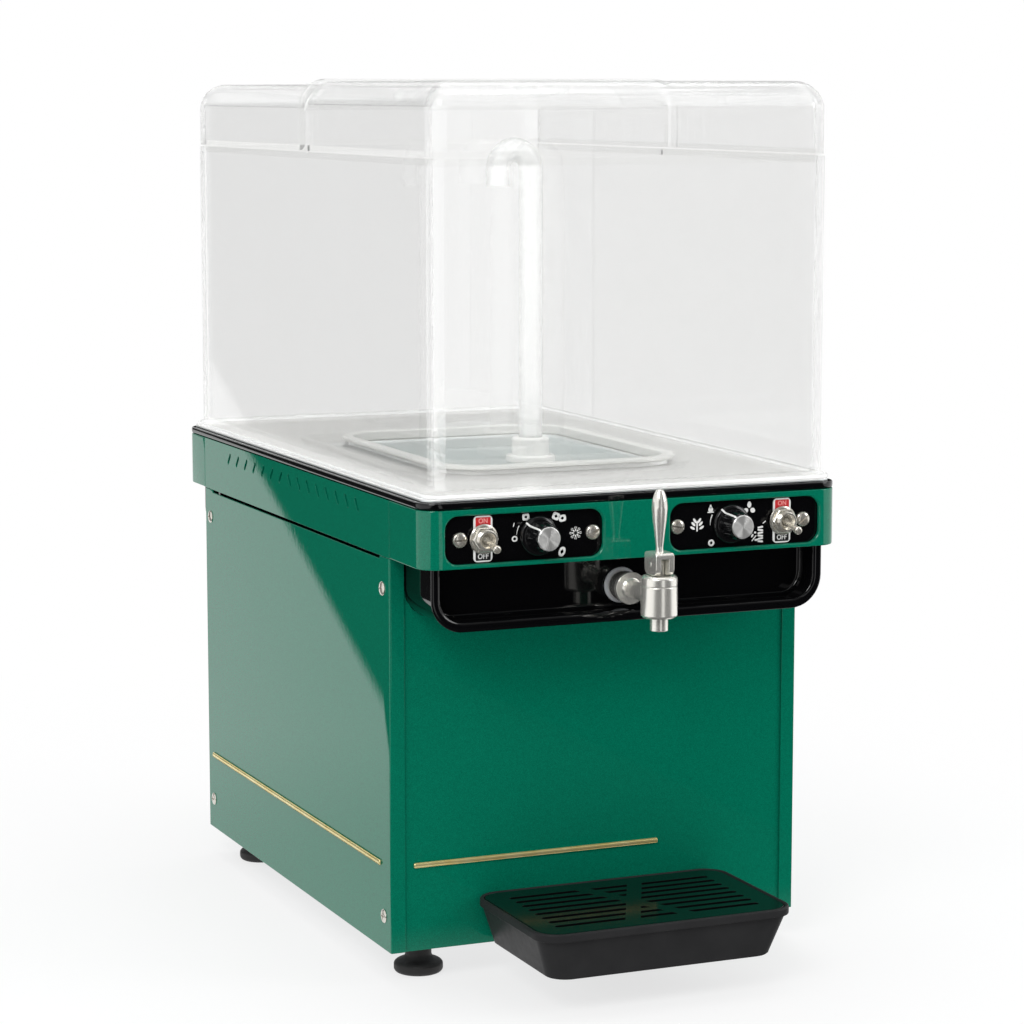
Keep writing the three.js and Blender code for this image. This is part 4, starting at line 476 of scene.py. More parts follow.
def dress(made, body, slot, look=None, replaces=(), sharp=None, edge=0.0, segments=2):
    """Material, shading and body of a piece; sharp keeps edges above that angle crisp."""
    mesh = made.data
    mesh.materials.clear()
    mesh.materials.append(LOOKS[look or slot])
    mesh.polygons.foreach_set("use_smooth", [True] * len(mesh.polygons))
    if sharp is not None:
        mesh.set_sharp_from_angle(angle=math.radians(sharp))
    if edge:
        soften_edges(made, edge, segments, EDGE_ANGLE)
    made.modifiers.new("even_shading", "WEIGHTED_NORMAL").keep_sharp = sharp is not None
    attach(made, body)
    if replaces:
        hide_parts(*replaces)


def add(name, shape, body, slot, look=None, **options):
    dress(object_of(name, shape), body, slot, look, **options)


def spread_looks(made, looks, choose):
    """More materials, given to the faces for which choose gives a number above 0."""
    for look in looks:
        made.data.materials.append(LOOKS[look])
    for face in made.data.polygons:
        face.material_index = choose(face)


# Clear bowl: flange, walls, floor with the opening for the seal

FLANGE_TOP, WALL_TOP = 301.2, 492
flange = drawn_in(263.2, 443.6, 11.2, BOWL_Y)
wall = drawn_in(2 * BOWL_HALF, 438, 10, BOWL_Y)
opening = drawn_in(154.6, 204.6, 28.3, WELL_Y)
wall_path = [(-1.4, FLANGE_TOP), (-0.5, 301.5), (0, 302.6), (0, 491.4), (0.6, WALL_TOP), (3.0, WALL_TOP),
             (3.6, 491.4), (3.6, 306.5)] + [(7.6 - x, 305.8 - z) for x, z in quarter(4, steps=5)]


def bowl_look(face):
    """3 on the top rim, 2 on the flange's rim, whose milky copy is a painted highlight, 1 on the upright
    corners, whose whiter copy is partly painted highlight.
    """
    across, upward = max(abs(face.normal.x), abs(face.normal.y)), abs(face.normal.z)
    if face.center.z > (WALL_TOP - 0.7) * MM:
        return 3
    if face.center.z < FLANGE_TOP * MM and upward < 0.8:
        return 2
    return int(across < 0.985 and upward < 0.3)


bowl = object_of("clear_bowl", loft(
    [flange(i, z) for i, z in ((0.5, 298.8), (0, 299.3), (0, 300.7), (0.5, FLANGE_TOP))]
    + [wall(i, z) for i, z in wall_path]
    + [opening(i, z) for i, z in ((-0.4, 301.8), (0, 301.4), (0, 299.2), (-0.4, 298.8))], wrap=True))
dress(bowl, "bowl", "clear_plastic", replaces=("bowl",))
spread_looks(bowl, ("clear_bend_painted_highlight", "clear_edge_painted_highlight", "clear_lip"), bowl_look)


# Lids: domed covers, open towards each other over the middle of the bowl

LID_CORNER, LID_EDGE, LID_WALL = 12, 17.0, 3.0
LID_FOOT, LID_SEAT = 492.3, 495.7
FRONT_TOP, REAR_TOP = 535.3, 533.3
SMALLEST_CORNER = 0.6


def lid_path(inset, seam, end, corner):
    """U-shaped path from the seam round the closed end and back; end is the closed end's y."""
    half = BOWL_HALF - inset
    side = math.copysign(1, end - seam)
    far = end - side * inset
    radius = max(corner, SMALLEST_CORNER)
    turn = quarter(radius, steps=10)
    return ([(half, seam)] + [(half - radius + x, far - side * (radius - y)) for x, y in turn]
            + [(-half + radius - y, far - side * (radius - x)) for x, y in turn] + [(-half, seam)])


def strip_faces(rows, count, start=0):
    """Faces between open paths of count points each, where rows gives the paths' numbers in order."""
    faces = []
    for a, b in zip(rows, rows[1:]):
        a, b = start + a * count, start + b * count
        faces += [(a + j, a + j + 1, b + j + 1, b + j) for j in range(count - 1)]
    return faces


def strip_shape(rings):
    """Closed bar that follows an open path: rings run round its section."""
    count = len(rings[0])
    faces = strip_faces([*range(len(rings)), 0], count)
    for end in (0, count - 1):
        faces.append(tuple(i * count + end for i in range(len(rings))))
    return [p for ring in rings for p in ring], faces


def lid_shell(seam, end, top):
    """Outer and inner skin of a lid half, closed along its foot and its seam end."""

    def skin(inset, low, radius):
        rings = [flat(lid_path(inset, seam, end, LID_CORNER - inset), low)]
        for x, z in quarter(radius, steps=9):
            shrink = radius - x
            corner = LID_CORNER - inset - shrink * 0.75
            rings.append(flat(lid_path(inset + shrink, seam, end, corner), top - inset - radius + z))
        return rings

    outer = skin(0, LID_FOOT, LID_EDGE)
    inner = skin(LID_WALL, LID_SEAT, LID_EDGE - LID_WALL)
    count, layers = len(outer[0]), len(outer)
    start = layers * count
    faces = []
    for base in (0, start):
        faces += strip_faces(range(layers), count, base)
        faces.append(tuple(range(base + start - count, base + start)))
    faces += [(j, j + 1, start + j + 1, start + j) for j in range(count - 1)]
    outer_edge = [i * count for i in range(layers)] + [i * count + count - 1 for i in reversed(range(layers))]
    inner_edge = [start + i for i in outer_edge]
    faces += [(a, b, d, c) for a, b, c, d in zip(outer_edge, outer_edge[1:], inner_edge, inner_edge[1:])]
    return [p for ring in outer + inner for p in ring], faces


def lid_lip(seam, end):
    """Upright lip that drops inside the bowl, with a rounded lower edge."""
    low, high = 487.3, 495.6
    outside = lid_path(3.9, seam, end, 6.1)
    inside = lid_path(5.5, seam, end, 4.2)
    middle = [((a[0] + b[0]) / 2, (a[1] + b[1]) / 2) for a, b in zip(outside, inside)]
    return strip_shape([flat(path, z) for path, z in ((outside, low + 0.5), (outside, high), (inside, high),
                                                      (inside, low + 0.5), (middle, low))])


def lid_arch(y0, y1):
    """Bar that follows the front lid's section from foot to foot across its top."""
    depth, soft, foot = 1.5, 0.35, LID_FOOT + 0.3
    paths = []
    for inset in (-depth, depth):
        half, height, radius = BOWL_HALF - inset, FRONT_TOP - inset, LID_EDGE - max(inset, 0)
        bend = quarter(radius, steps=9)
        paths.append([(half, foot)] + [(half - radius + x, height - radius + z) for x, z in bend]
                     + [(-half + radius - x, height - radius + z) for x, z in reversed(bend)]
                     + [(-half, foot)])
    middle = [((x * 3 + u) / 4, (z * 3 + v) / 4) for (x, z), (u, v) in zip(*paths)]
    outer, inner = paths
    section = ((outer, y0 + soft), (outer, y1 - soft), (middle, y1), (inner, y1), (inner, y0), (middle, y0))
    return strip_shape([upright(path, y) for path, y in section])


def rib(y0, y1, low, high):
    half = BOWL_HALF - LID_WALL
    return loft([flat([(half, y0), (half, y1), (-half, y1), (-half, y0)], z) for z in (low, high)])


def lid_look(face):
    """2 on the foot, 1 on the bends, whose whiter copy is partly painted highlight."""
    if face.center.z < (LID_SEAT + 0.1) * MM:
        return 2
    return int(max(abs(value) for value in face.normal) < 0.975)


front_bars = [lid_arch(12.25, 23.25), rib(20.25, 23.25, 519.3, 534)]
rear_bars = [rib(23.75, 26.75, 517.3, 532)]
lids = (("front_lid", 23.25, -195.5, FRONT_TOP, front_bars), ("rear_lid", 23.75, 242.5, REAR_TOP, rear_bars))
for body, seam, end, top, bars in lids:
    lid = object_of("clear_" + body, lid_shell(seam, end, top))
    carve(lid, *bars, operation="UNION")
    dress(lid, body, "clear_plastic", replaces=(body,), edge=0.3)
    spread_looks(lid, ("clear_bend_painted_highlight", "clear_lip"), lid_look)
for body, seam, end, *_ in lids:
    add("clear_lip_" + body, lid_lip(seam, end), body, "clear_plastic", "clear_lip")


# Spray tube: riser, half turn and short drop, bored through

def swept(path, radius):
    """Ring at each (x, z) of a path in the pump's upright plane, facing along the path."""
    rings = []
    for i, (x, z) in enumerate(path):
        ahead, behind = path[min(i + 1, len(path) - 1)], path[max(i - 1, 0)]
        size = math.dist(ahead, behind)
        nx, nz = (ahead[1] - behind[1]) / size, (behind[0] - ahead[0]) / size
        rings.append([(x + radius * c * nx, PUMP_Y + radius * s, z + radius * c * nz) for c, s in circle(28)])
    return rings


half_turn = [(-11 + x, 482 + z) for x, z in quarter(11, 0, 180, 18)]
tube_path = [(0, 304.9), (0, 306), (0, 380), (0, 440), *half_turn, (-22, 476), (-22, 471)]
add("clear_spray_tube", loft(swept(tube_path, 7.5) + swept(tube_path, 5.5)[::-1], wrap=True), "spray_tube",
    "clear_plastic", "clear_tube", replaces=("spray_tube",), edge=0.3)


# Pump cover: bell with ports, riser, flange and cap with the tube's socket

cover_profile = soften([(30, 231.3), (30, 247.8), (27.5, 250.3), (12.5, 250.3), (10, 252.8), (10, 298.1),
                        (15.5, 298.1), (15.5, 302.1), (11.75, 302.1), (11.75, 312.4), (10.55, 313.6),
                        (7.9, 313.6)], 0.7)
socket = [(7.9, 304.7), (0, 304.7)]
bell = [(0, 231.3), (24.5, 231.3), (24.5, 245.2), (0, 245.2)]
ports = [loft([flat(rounded(*size, 1.5, 0, PUMP_Y), z) for z in (230, 237.3)])
         for size in ((80, 16), (16, 80))]
cover = object_of("pump_cover_white", turned([(0, 231.3)] + cover_profile + socket, (0, PUMP_Y, 0)))
carve(cover, turned(bell, (0, PUMP_Y, 0)), *ports)
dress(cover, "pump_cover", "white_plastic", replaces=("pump_cover",), sharp=34)


# Stainless deck with the basin pressed into it, white seal round the basin; the basin wears a darker copy of
# the steel as painted shade, the deck's top a paler copy as painted light

basin = drawn_in(146, 196, 24, WELL_Y, 14)
deck = drawn_in(264, 443.5, 10, RIM_Y, 14)
seal = drawn_in(148, 198, 25, WELL_Y, 14)
steel = [deck(0, 297.3), deck(0, 298.2), deck(0.3, 298.5)]
steel += [basin(-2.4 + x, 296.1 + z) for x, z in reversed(quarter(2.4))]
steel += [basin(8 - x, 239 - z) for x, z in quarter(8, steps=8)]
under = [basin(6.8, 229.8)] + [basin(8 - x, 239 - z) for x, z in reversed(quarter(9.2, 0, 80, 8))]
under += [basin(-1.2, 293.5), basin(-2.4, 297.3), deck(0, 297.3)]
well = object_of("steel_deck_and_well", loft(steel, caps=(False, True)))
dress(well, "cabinet", "satin_steel", "well_steel_painted_shade", replaces=("cold_well",))
# Faces above 298 mm, the deck's top, get the paler copy as painted light; the rest keep the darker basin copy
# as painted shade.
spread_looks(well, ("deck_steel_painted_light",), lambda face: int(face.center.z > 298 * MM))
add("steel_deck_underside", loft(under, caps=(True, False)), "cabinet", "satin_steel", "well_steel_painted_shade")
drain_profile = soften([(0, 97.2), (5.4, 97.2), (5.4, 96.6), (4.6, 96.0), (4.4, 97.0), (0, 97.0)], 0.2)
add("drain_mouth", turned(drain_profile, (0, 0, TAP_Z), "Y"), "cabinet", "satin_steel", sharp=40)
seal_path = [(-0.3, 298.8), (-2.7, 298.8), (-3, 299.1), (-3, 302.1), (-7, 302.1), (-7.5, 302.5)]
seal_path += [(-6.3 - x, 303.5 + z) for x, z in quarter(1.2)]
seal_path += [(-1.2 + x, 303.5 + z) for x, z in reversed(quarter(1.2))] + [(0, 299.1)]
add("white_well_seal", loft([seal(i, z) for i, z in seal_path], wrap=True), "bowl", "white_plastic",
    "pale_seal", replaces=("well_seal",))


# Collar front: fascia wrapped round both front corners, windows with rolled edges

def window(side, grow, y):
    return upright(rounded(99.1 + 2 * grow, 28 + 2 * grow, 8 + grow, side * WINDOW_X, CONTROL_Z), y)


outline = cup(135, -199.5, -145.5, 13) + cup(132, -196.5, -145.5, 10)[::-1]
rolled_edge = [(1.9, -200.5), (1.4, -199.5), (0.9, -199.38), (0.45, -199.08), (0.12, -198.6), (0, -198.1),
               (0, -190)]
fascia = object_of("green_collar_front", loft([flat(outline, z) for z in (COLLAR_LOW, COLLAR_HIGH)]))
carve(fascia, *[loft([window(side, grow, y) for grow, y in rolled_edge]) for side in (-1, 1)])
dress(fascia, "cabinet", "green_paint", replaces=("collar_front",), edge=0.7, segments=3)


# Side bands with two fans of slanted louvre slots

def slot_outline(step, length=9.5, width=2.6):
    """Round-ended slot; slots lean away from the middle one."""
    ends = [(u, end * (length - width) / 2 + v) for end, start in ((1, 0), (-1, 180))
            for u, v in quarter(width / 2, start, start + 180)]
    return leaning(ends, 32 + step * 17.6, 283.6, -40 if step <= 0 else 40)


band_outline = [(-145.2, COLLAR_LOW), (209.2, COLLAR_LOW), (209.2, COLLAR_HIGH), (-145.2, COLLAR_HIGH)]
for side, name in SIDES:
    band = object_of("vented_band_" + name, loft([sideways(band_outline, side * x) for x in (133.5, 135)]))
    carve(band, combine(*[loft([sideways(slot_outline(step), side * x) for x in (130, 138)])
                          for step in range(-7, 8)]))
    dress(band, "cabinet", "green_paint", replaces=("vent_band_" + name,), edge=0.4)


# Black tub: open-topped shell with a dished front and rolled lower corners, under a flat rim

tub_skin = [(1.5, 243.3, 16.5), (0.4, 242.8, 17.6), (0, 241.6, 18), (0, -186.5, 18), (-0.5, -188.4, 18.5),
            (-1.5, -189.6, 19.5), (-2, -191.0, 20), (-1.8, -191.7, 19.8), (-1.0, -192.1, 19),
            (1.5, -192.1, 16.6), (3.2, -191.6, 15.2), (4, -190.3, 14), (4, -178.2, 14), (4.8, -176.4, 13.2),
            (6.6, -175.5, 11.6)]
tub = object_of("black_tub", loft([upright(cup(125 - i, 222 + i, 292.9, r), y) for i, y, r in tub_skin]))
carve(tub, loft([upright(cup(122, 225, 300, 15), y) for y in (240.3, -172.5)]),
      turned([(0, 165), (7.3, 165), (7.3, 180), (0, 180)], (0, 0, TAP_Z), "Y"),
      turned([(0, 220), (30, 220), (30, 226), (0, 226)], (0, PUMP_Y, 0)))
dress(tub, "cabinet", "gloss_black", replaces=("tub",), sharp=50)
rim = drawn_in(270, 449.5, 13, RIM_Y)
rim_profile = [(1.3, 292.9), (0.5, 293.1), (0.1, 293.6), (0, 294.2), (0, 295.8), (0.15, 296.4), (0.5, 296.8),
               (1.3, 297)]
add("black_tub_rim", loft([rim(i, z) for i, z in rim_profile]
                          + [flat(rounded(244, 412.8, 4, 0, 33.9), z) for z in (297, 292.9)], wrap=True),
    "cabinet", "gloss_black")


# Tap: body, gasket, nut, tall lever and its pin

tap_at = (0, TAP_Y, TAP_Z)
barrel = [(3.5, -17.6), (3.5, -19.1), (5.25, -19.1), (5.25, -11.3), (9.3, -11.3), (10.7, -9.9), (10.7, 7.0),
          (10.3, 7.4), (10.7, 7.8), (10.7, 12.0), (9.3, 13.4), (5.6, 13.4), (5.6, 11.4)]
neck = [(0, -2), (5, -2), (5, -11.2), (5.9, -11.8), (5.9, -13.2), (5, -13.8), (5, -36.6), (6.2, -37.6),
        (9.65, -37.6), (9.65, -40.2), (7, -40.2), (7, -81.5), (0, -81.5)]
tap = object_of("tap_barrel", turned([(0, -17.6)] + soften(barrel, 0.5) + [(0, 11.4)], tap_at))
carve(tap, turned(soften(neck, 0.4), tap_at, "Y"), operation="UNION")
dress(tap, "cabinet", "satin_steel", replaces=("tap_body",), sharp=33)
nut_profile = soften([(7.2, -40.5), (8.6, -40.5), (9.25, -41.3), (9.25, -50.1), (8.6, -50.9),
                      (7.2, -50.9)], 0.3)
add("tap_nut_ring", turned(nut_profile, tap_at, "Y", wrap=True), "cabinet", "satin_steel", "bright_steel",
    replaces=("tap_nut",), sharp=33)
gasket_profile = soften([(7.2, -51.2), (10.2, -51.2), (10.75, -51.7), (10.75, -52.7), (10.2, -53.2),
                         (7.2, -53.2)], 0.25)
add("tap_gasket_ring", turned(gasket_profile, tap_at, "Y", wrap=True), "cabinet", "pale_rubber",
    replaces=("tap_gasket",), sharp=50)

BLOCK_HALF, BLOCK_LOW, BLOCK_HIGH = 8, PIN_Z - 6.3, PIN_Z + 7
LOW_ROUND, HIGH_ROUND = 4.5, 2.2
low_inset, high_inset = BLOCK_HALF - LOW_ROUND, BLOCK_HALF - HIGH_ROUND
lower, upper = quarter(LOW_ROUND, steps=7), quarter(HIGH_ROUND, steps=5)
cheek = ([(-low_inset - a, BLOCK_LOW + LOW_ROUND - b) for a, b in lower]
         + [(low_inset + a, BLOCK_LOW + LOW_ROUND - b) for a, b in reversed(lower)]
         + [(high_inset + a, BLOCK_HIGH - HIGH_ROUND + b) for a, b in upper]
         + [(-high_inset - a, BLOCK_HIGH - HIGH_ROUND + b) for a, b in reversed(upper)])
gap = [(-9, BLOCK_LOW - 1), (9, BLOCK_LOW - 1), (9, PIN_Z + 3.6), (-9, PIN_Z + 3.6)]
stalk_profile = [(0, -0.6), (2.6, -0.6), (2.3, 0.8), (2.12, 2.4), (2.25, 3.65), (2.75, 8), (3.53, 14.6),
                 (4.1, 19.0), (4.42, 22.6), (4.62, 25.2), (4.65, 26.6), (4.4, 29.2), (4.0, 31.0), (3.3, 33.4),
                 (2.6, 35.1), (2.0, 36.0), (1.1, 36.42), (0, 36.5)]
lever, fork = (loft([[(x, TAP_Y + y, z) for y, z in form] for x in (-half, half)])
               for form, half in ((cheek, 5.8), (gap, 2.5)))
lever = object_of("tall_tap_lever", lever)
carve(lever, fork)
carve(lever, turned(stalk_profile, (0, TAP_Y, BLOCK_HIGH)), operation="UNION")
dress(lever, "tap_lever", "satin_steel", replaces=("tap_lever",), sharp=38, edge=0.35)
pin_profile = [(0, -6.1), (1.2, -6.1), (1.5, -5.85), (1.5, 5.85), (1.2, 6.1), (0, 6.1)]
add("lever_pin_round", turned(pin_profile, (0, TAP_Y, PIN_Z), "X", 28), "valve_stem", "satin_steel",
    replaces=("lever_pin",), sharp=40)


# Toggle switches: body, ring, hexagon nut, threaded bushing with a cone for the bat lever

def switch_shape(at):
    body = loft([upright(rounded(13 - 2 * i, 21 - 2 * i, 1.2, at[0], at[2]), y)
                 for i, y in ((0.5, -179.4), (0, -179.9), (0, -193.9), (0.5, -194.4))])
    ring = soften([(0, 1.4), (8.3, 1.4), (8.8, 1.9), (8.8, 2.3), (7.7, 3.0), (0, 3.0)], 0.2)
    flats = [(6.9, 2.9), (7.7, 3.05), (8.08, 3.4), (8.08, 5.0), (7.6, 5.45), (6.8, 5.65)]
    thread = [(0, -1.8), (5.9, -1.8)]
    for turn in range(5):
        thread += [(6.0, 5.7 + 0.6 * turn), (5.68, 6.0 + 0.6 * turn)]
    thread += [(5.9, 8.7), (5.5, 9.0), (4.6, 9.0), (2.9, 6.6), (2.6, 5.2), (2.6, 3.4), (0, 2.4)]
    return combine(body, turned(ring, at, "Y"), turned(flats, at, "Y", 6), turned(thread, at, "Y"))


bat_profile = [(0, -2.5), (1.3, -2.15), (2.2, -1.2), (2.5, 0), (2.2, 1.2), (1.6, 1.95), (1.4, 2.6), (1.35, 5),
               (1.5, 9), (1.85, 13), (2.2, 14.8), (2.45, 15.8), (2.5, 16.6), (2.3, 17.4), (1.7, 17.85),
               (0.9, 18), (0, 18)]
for side, name in SIDES:
    base, pivot = ((side * TOGGLE_X, y, CONTROL_Z) for y in (PLATE_Y, PLATE_Y - 5))
    add("nickel_switch_" + name, switch_shape(base), "cabinet", "nickel_plate",
        replaces=("toggle_switch_" + name,), sharp=28)
    add("nickel_bat_" + name, tipped(turned(bat_profile, pivot, "Y", 32), pivot, 12), "toggle_lever_" + name,
        "nickel_plate", replaces=("toggle_lever_" + name,))


# Legend plates of the switches: pale tab with a red and a black field, generic lettering on both

def letters(name, text, x, z, size, look):
    """Raised letters on the legend plate, centred on x and z."""
    curve = bpy.data.curves.new(name, "FONT")
    curve.body = text
    curve.align_x, curve.align_y = "CENTER", "CENTER"
    curve.size = size * MM
    curve.extrude = 0.03 * MM
    curve.offset = 0.06 * MM
    curve.resolution_u = 4
    holder = bpy.data.objects.new(name, curve)
    scene.collection.objects.link(holder)
    bpy.context.view_layer.update()
    mesh = bpy.data.meshes.new_from_object(holder.evaluated_get(bpy.context.evaluated_depsgraph_get()))
    bpy.data.objects.remove(holder)
    for vertex in mesh.vertices:
        right, up, out = vertex.co
        vertex.co = (x * MM + right * 0.92, (PLATE_Y - 0.87) * MM - out, z * MM + up)
    mesh.name = name
    made = bpy.data.objects.new(name, mesh)
    scene.collection.objects.link(made)
    dress(made, "cabinet", "white_plastic", look)


for side, name in SIDES:
    x = side * TOGGLE_X
    tab = [upright(rounded(11.8 - 2 * i, 27 - 2 * i, 2.6 - i, x, CONTROL_Z), PLATE_Y - out)
           for i, out in ((0.1, 0.02), (0, 0.2), (0, 0.6), (0.25, 0.8))]
    add("legend_plate_" + name, loft(tab), "cabinet", "white_plastic", "white_print")
    for tone, slot, z in (("red", "white_plastic", 284.4), ("black", "gloss_black", 265.3)):
        field = prism(rounded(9.4, 6.0, 0.7, x, z), PLATE_Y - 0.78, PLATE_Y - 0.85)
        add("legend_" + tone + "_" + name, field, "cabinet", slot, tone + "_print")
    letters("letters_on_" + name, "ON", x, 285.2, 4.0, "pink_print")
    letters("letters_off_" + name, "OFF", x, 264.6, 4.2, "white_print")


# Slotted screws of the control plates and round-headed screws of the side panels

screw_profile = soften([(0, 0.05), (4.3, 0.05), (4.5, 0.4), (4.4, 1.1), (3.8, 1.75), (2.6, 2.15), (1.2, 2.3),
                        (0, 2.35)], 0.2)
dome_profile = [(0, -0.6), (2.0, -0.6), (2.0, 0.0), (4.0, 0.02), (4.2, 0.25), (3.9, 0.7), (3.0, 1.05),
                (1.6, 1.25), (0, 1.3)]


def plate_screw(name, x, slot_turn):
    screw = object_of(name, turned(screw_profile, (x, PLATE_Y, CONTROL_Z), "Y", 44))
    slot = leaning(box_corners(6, 0.5), x, CONTROL_Z, slot_turn)
    carve(screw, prism(slot, PLATE_Y - 1.25, PLATE_Y - 4))
    dress(screw, "cabinet", "nickel_plate", sharp=40)


def panel_screw(name, side, y, z):
    at = (side * 135, y, z)
    screw = object_of(name, turned([(r, side * h) for r, h in dome_profile], at, "X", 40))
    carve(screw, *[loft([[(at[0] + side * h, y + u, z + v) for u, v in box_corners(width / 2, length / 2)]
                         for h in (0.35, 3)]) for width, length in ((0.95, 4.4), (4.4, 0.95))])
    dress(screw, "cabinet", "nickel_plate", sharp=40)


for (side, name), outer_turn, inner_turn in zip(SIDES, (4, 38), (24, -8)):
    plate_screw("plate_screw_outer_" + name, side * 111.2, outer_turn)
    plate_screw("plate_screw_inner_" + name, side * 27.5, inner_turn)
for side, name in SIDES:
    for place, y in (("front", -134), ("rear", 198)):
        for level, z in (("low", 40.6), ("high", 239)):
            panel_screw("panel_screw_" + "_".join((name, place, level)), side, y, z)


# Dial marks printed on the control plates

MARK_BACK, MARK_FACE = PLATE_Y - 0.01, PLATE_Y - 0.08


def patch(x, z, width, height, power=2.0, lean=0.0):
    return prism(swell(x, z, width, height, power, lean, 20), MARK_BACK, MARK_FACE)


def holed(x, z, width, height, power, lean=0.0, core=0.45, core_power=1.2):
    outer = swell(x, z, width, height, power, lean)
    inner = swell(x, z, width * core, height * core, core_power, lean)
    section = ((outer, MARK_BACK), (outer, MARK_FACE), (inner, MARK_FACE), (inner, MARK_BACK))
    return loft([upright(outline, y) for outline, y in section], wrap=True)


def bar(x, z, length, width, lean):
    return patch(x, z, length, width, 5, lean)


def arc_mark(x, z, radius, start, end, width):
    """Scale line round a knob that tapers towards its start."""
    outer, inner = [], []
    for step in range(13):
        share = step / 12
        c, s = heading(start + (end - start) * share)
        spread = width * (0.2 + 0.8 * share) / 2
        outer.append((x + (radius + spread) * c, z + (radius + spread) * s))
        inner.append((x + (radius - spread) * c, z + (radius - spread) * s))
    return prism(outer + inner[::-1], MARK_BACK, MARK_FACE)


def snowflake(x, z):
    arms = [bar(x, z, 7.6, 0.75, angle) for angle in (0, 45, 90, 135)]
    tips = [patch(x + 3.1 * c, z + 3.1 * s, 1.5, 1.5) for c, s in map(heading, range(0, 360, 45))]
    return combine(*arms, *tips, patch(x, z, 2.4, 2.4))


left_marks = combine(
    holed(-69.8, 285.9, 4.4, 3.9, 5, 4), holed(-50.8, 285.4, 4.6, 4.4, 4, -24),
    holed(-46.7, 284.0, 4.6, 4.0, 4, 8), bar(-77.4, 281.8, 2.4, 0.55, 78),
    holed(-76.8, 273.6, 3.7, 3.5, 2, 0, 0.5, 2), snowflake(-38.3, 274.9),
    arc_mark(-KNOB_X, CONTROL_Z, 13.2, 176, 152, 0.7), holed(-46.9, 264.4, 4.2, 6.0, 2, -24, 0.5))
tree = combine(bar(40.6, 274.3, 6.4, 0.9, 90), *[
    patch(40.6 + side * u, 274.6 + v, 3.4, 1.5, 2, side * lean)
    for side in (-1, 1) for u, v, lean in ((1.5, 3.0, 56), (2.4, 1.1, 44), (3.0, -1.2, 30))])
drop = combine(patch(49.5, 283.8, 3.1, 3.0, 2.4), patch(49.5, 285.5, 1.5, 2.8, 1.4),
               bar(49.5, 282.2, 4.2, 0.7, 0))
petals = combine(patch(75.2, 285.4, 2.8, 4.0, 1.7), patch(72.9, 281.9, 3.4, 3.0, 1.8, 30),
                 patch(77.5, 281.9, 3.4, 3.0, 1.8, -30))
waves = combine(*[bar(82.8, 262.9 + 1.7 * row, 3.7, 1.15, 8 if row % 2 else -8) for row in range(6)])
branch = combine(bar(78.6, 265.0, 4.4, 0.7, 48), patch(77.4, 266.6, 2.4, 1.2, 2, 60),
                 patch(80.0, 263.9, 2.4, 1.2, 2, 0), patch(79.3, 268.4, 1.6, 1.2))
right_marks = combine(tree, drop, petals, waves, branch, holed(50.1, 263.8, 4.2, 4.2, 2, 0, 0.5),
                      patch(67.9, 283.4, 1.0, 1.0), bar(85.4, 274.3, 2.6, 0.6, 36),
                      arc_mark(KNOB_X, CONTROL_Z, 13.2, 182, 154, 0.8))
for (side, name), marks in zip(SIDES, (left_marks, right_marks)):
    add("dial_marks_" + name, marks, "cabinet", "white_plastic", "white_print")


# Knobs: black skirt and fluted grip with a white pointer, spun metal cap

def grip_ring(at, radius, forward, flute, steps=120):
    ring = []
    for step in range(steps):
        angle = TURN * step / steps
        r = radius - flute * (0.5 - 0.5 * math.cos(10 * angle)) ** 1.6
        ring.append((at[0] + r * math.cos(angle), at[1] - forward, at[2] + r * math.sin(angle)))
    return ring


def knob_shape(at):
    skirt = soften([(0, 1), (11.3, 1), (11.75, 1.5), (11.75, 2.4), (11.0, 3.5), (9.6, 4.1), (0, 4.1)], 0.3)
    grip = [(9.35, 3.6, 0.3), (9.0, 4.6, 0.9), (8.1, 14.6, 0.9), (7.95, 15.6, 0.6), (7.6, 16.3, 0.2),
            (7.3, 16.5, 0), (7.25, 15.9, 0)]
    return combine(turned(skirt, at, "Y", 72), loft([grip_ring(at, *row) for row in grip]))


def pointer_shape(at, degrees, half_width=0.55):
    """Line from the skirt's edge up the grip to the cap."""
    c, s = heading(degrees)
    rings = []
    for radius, forward in ((11.6, 2.9), (11.0, 3.62), (9.4, 4.35), (9.12, 5.4), (8.25, 14.6), (8.05, 15.7),
                            (7.5, 16.5)):
        ring = []
        for across, out in ((-half_width, 0), (half_width, 0), (half_width, -0.6), (-half_width, -0.6)):
            r, depth = (radius, forward + out) if forward < 4.4 else (radius + out, forward)
            ring.append((at[0] + r * c - across * s, at[1] - depth, at[2] + r * s + across * c))
        rings.append(ring)
    return loft(rings)


cap_profile = soften([(0, 16.0), (7.0, 16.0), (7.0, 17.0), (6.6, 17.4), (0, 17.4)], 0.15)
for side, body, degrees in ((-1, "thermostat_knob", 136), (1, "spray_knob", 128)):
    at = (side * KNOB_X, PLATE_Y, CONTROL_Z)
    add("fluted_" + body, knob_shape(at), body, "gloss_black", "knob_black", replaces=(body,), sharp=50)
    add("pointer_" + body, pointer_shape(at, degrees), body, "white_plastic", "white_print")
    add("spun_cap_" + body, turned(cap_profile, at, "Y", 72), body, "aluminium", "spun_aluminium",
        replaces=(body + "_cap",), sharp=35)


# Drip tray with a rolled rim, slotted grille with a cross of solid bands

def tray_ring(half, front, corner, inset, z):
    return drawn_in(2 * half, FRONT_Y - front, corner, (FRONT_Y + front) / 2)(inset, z)


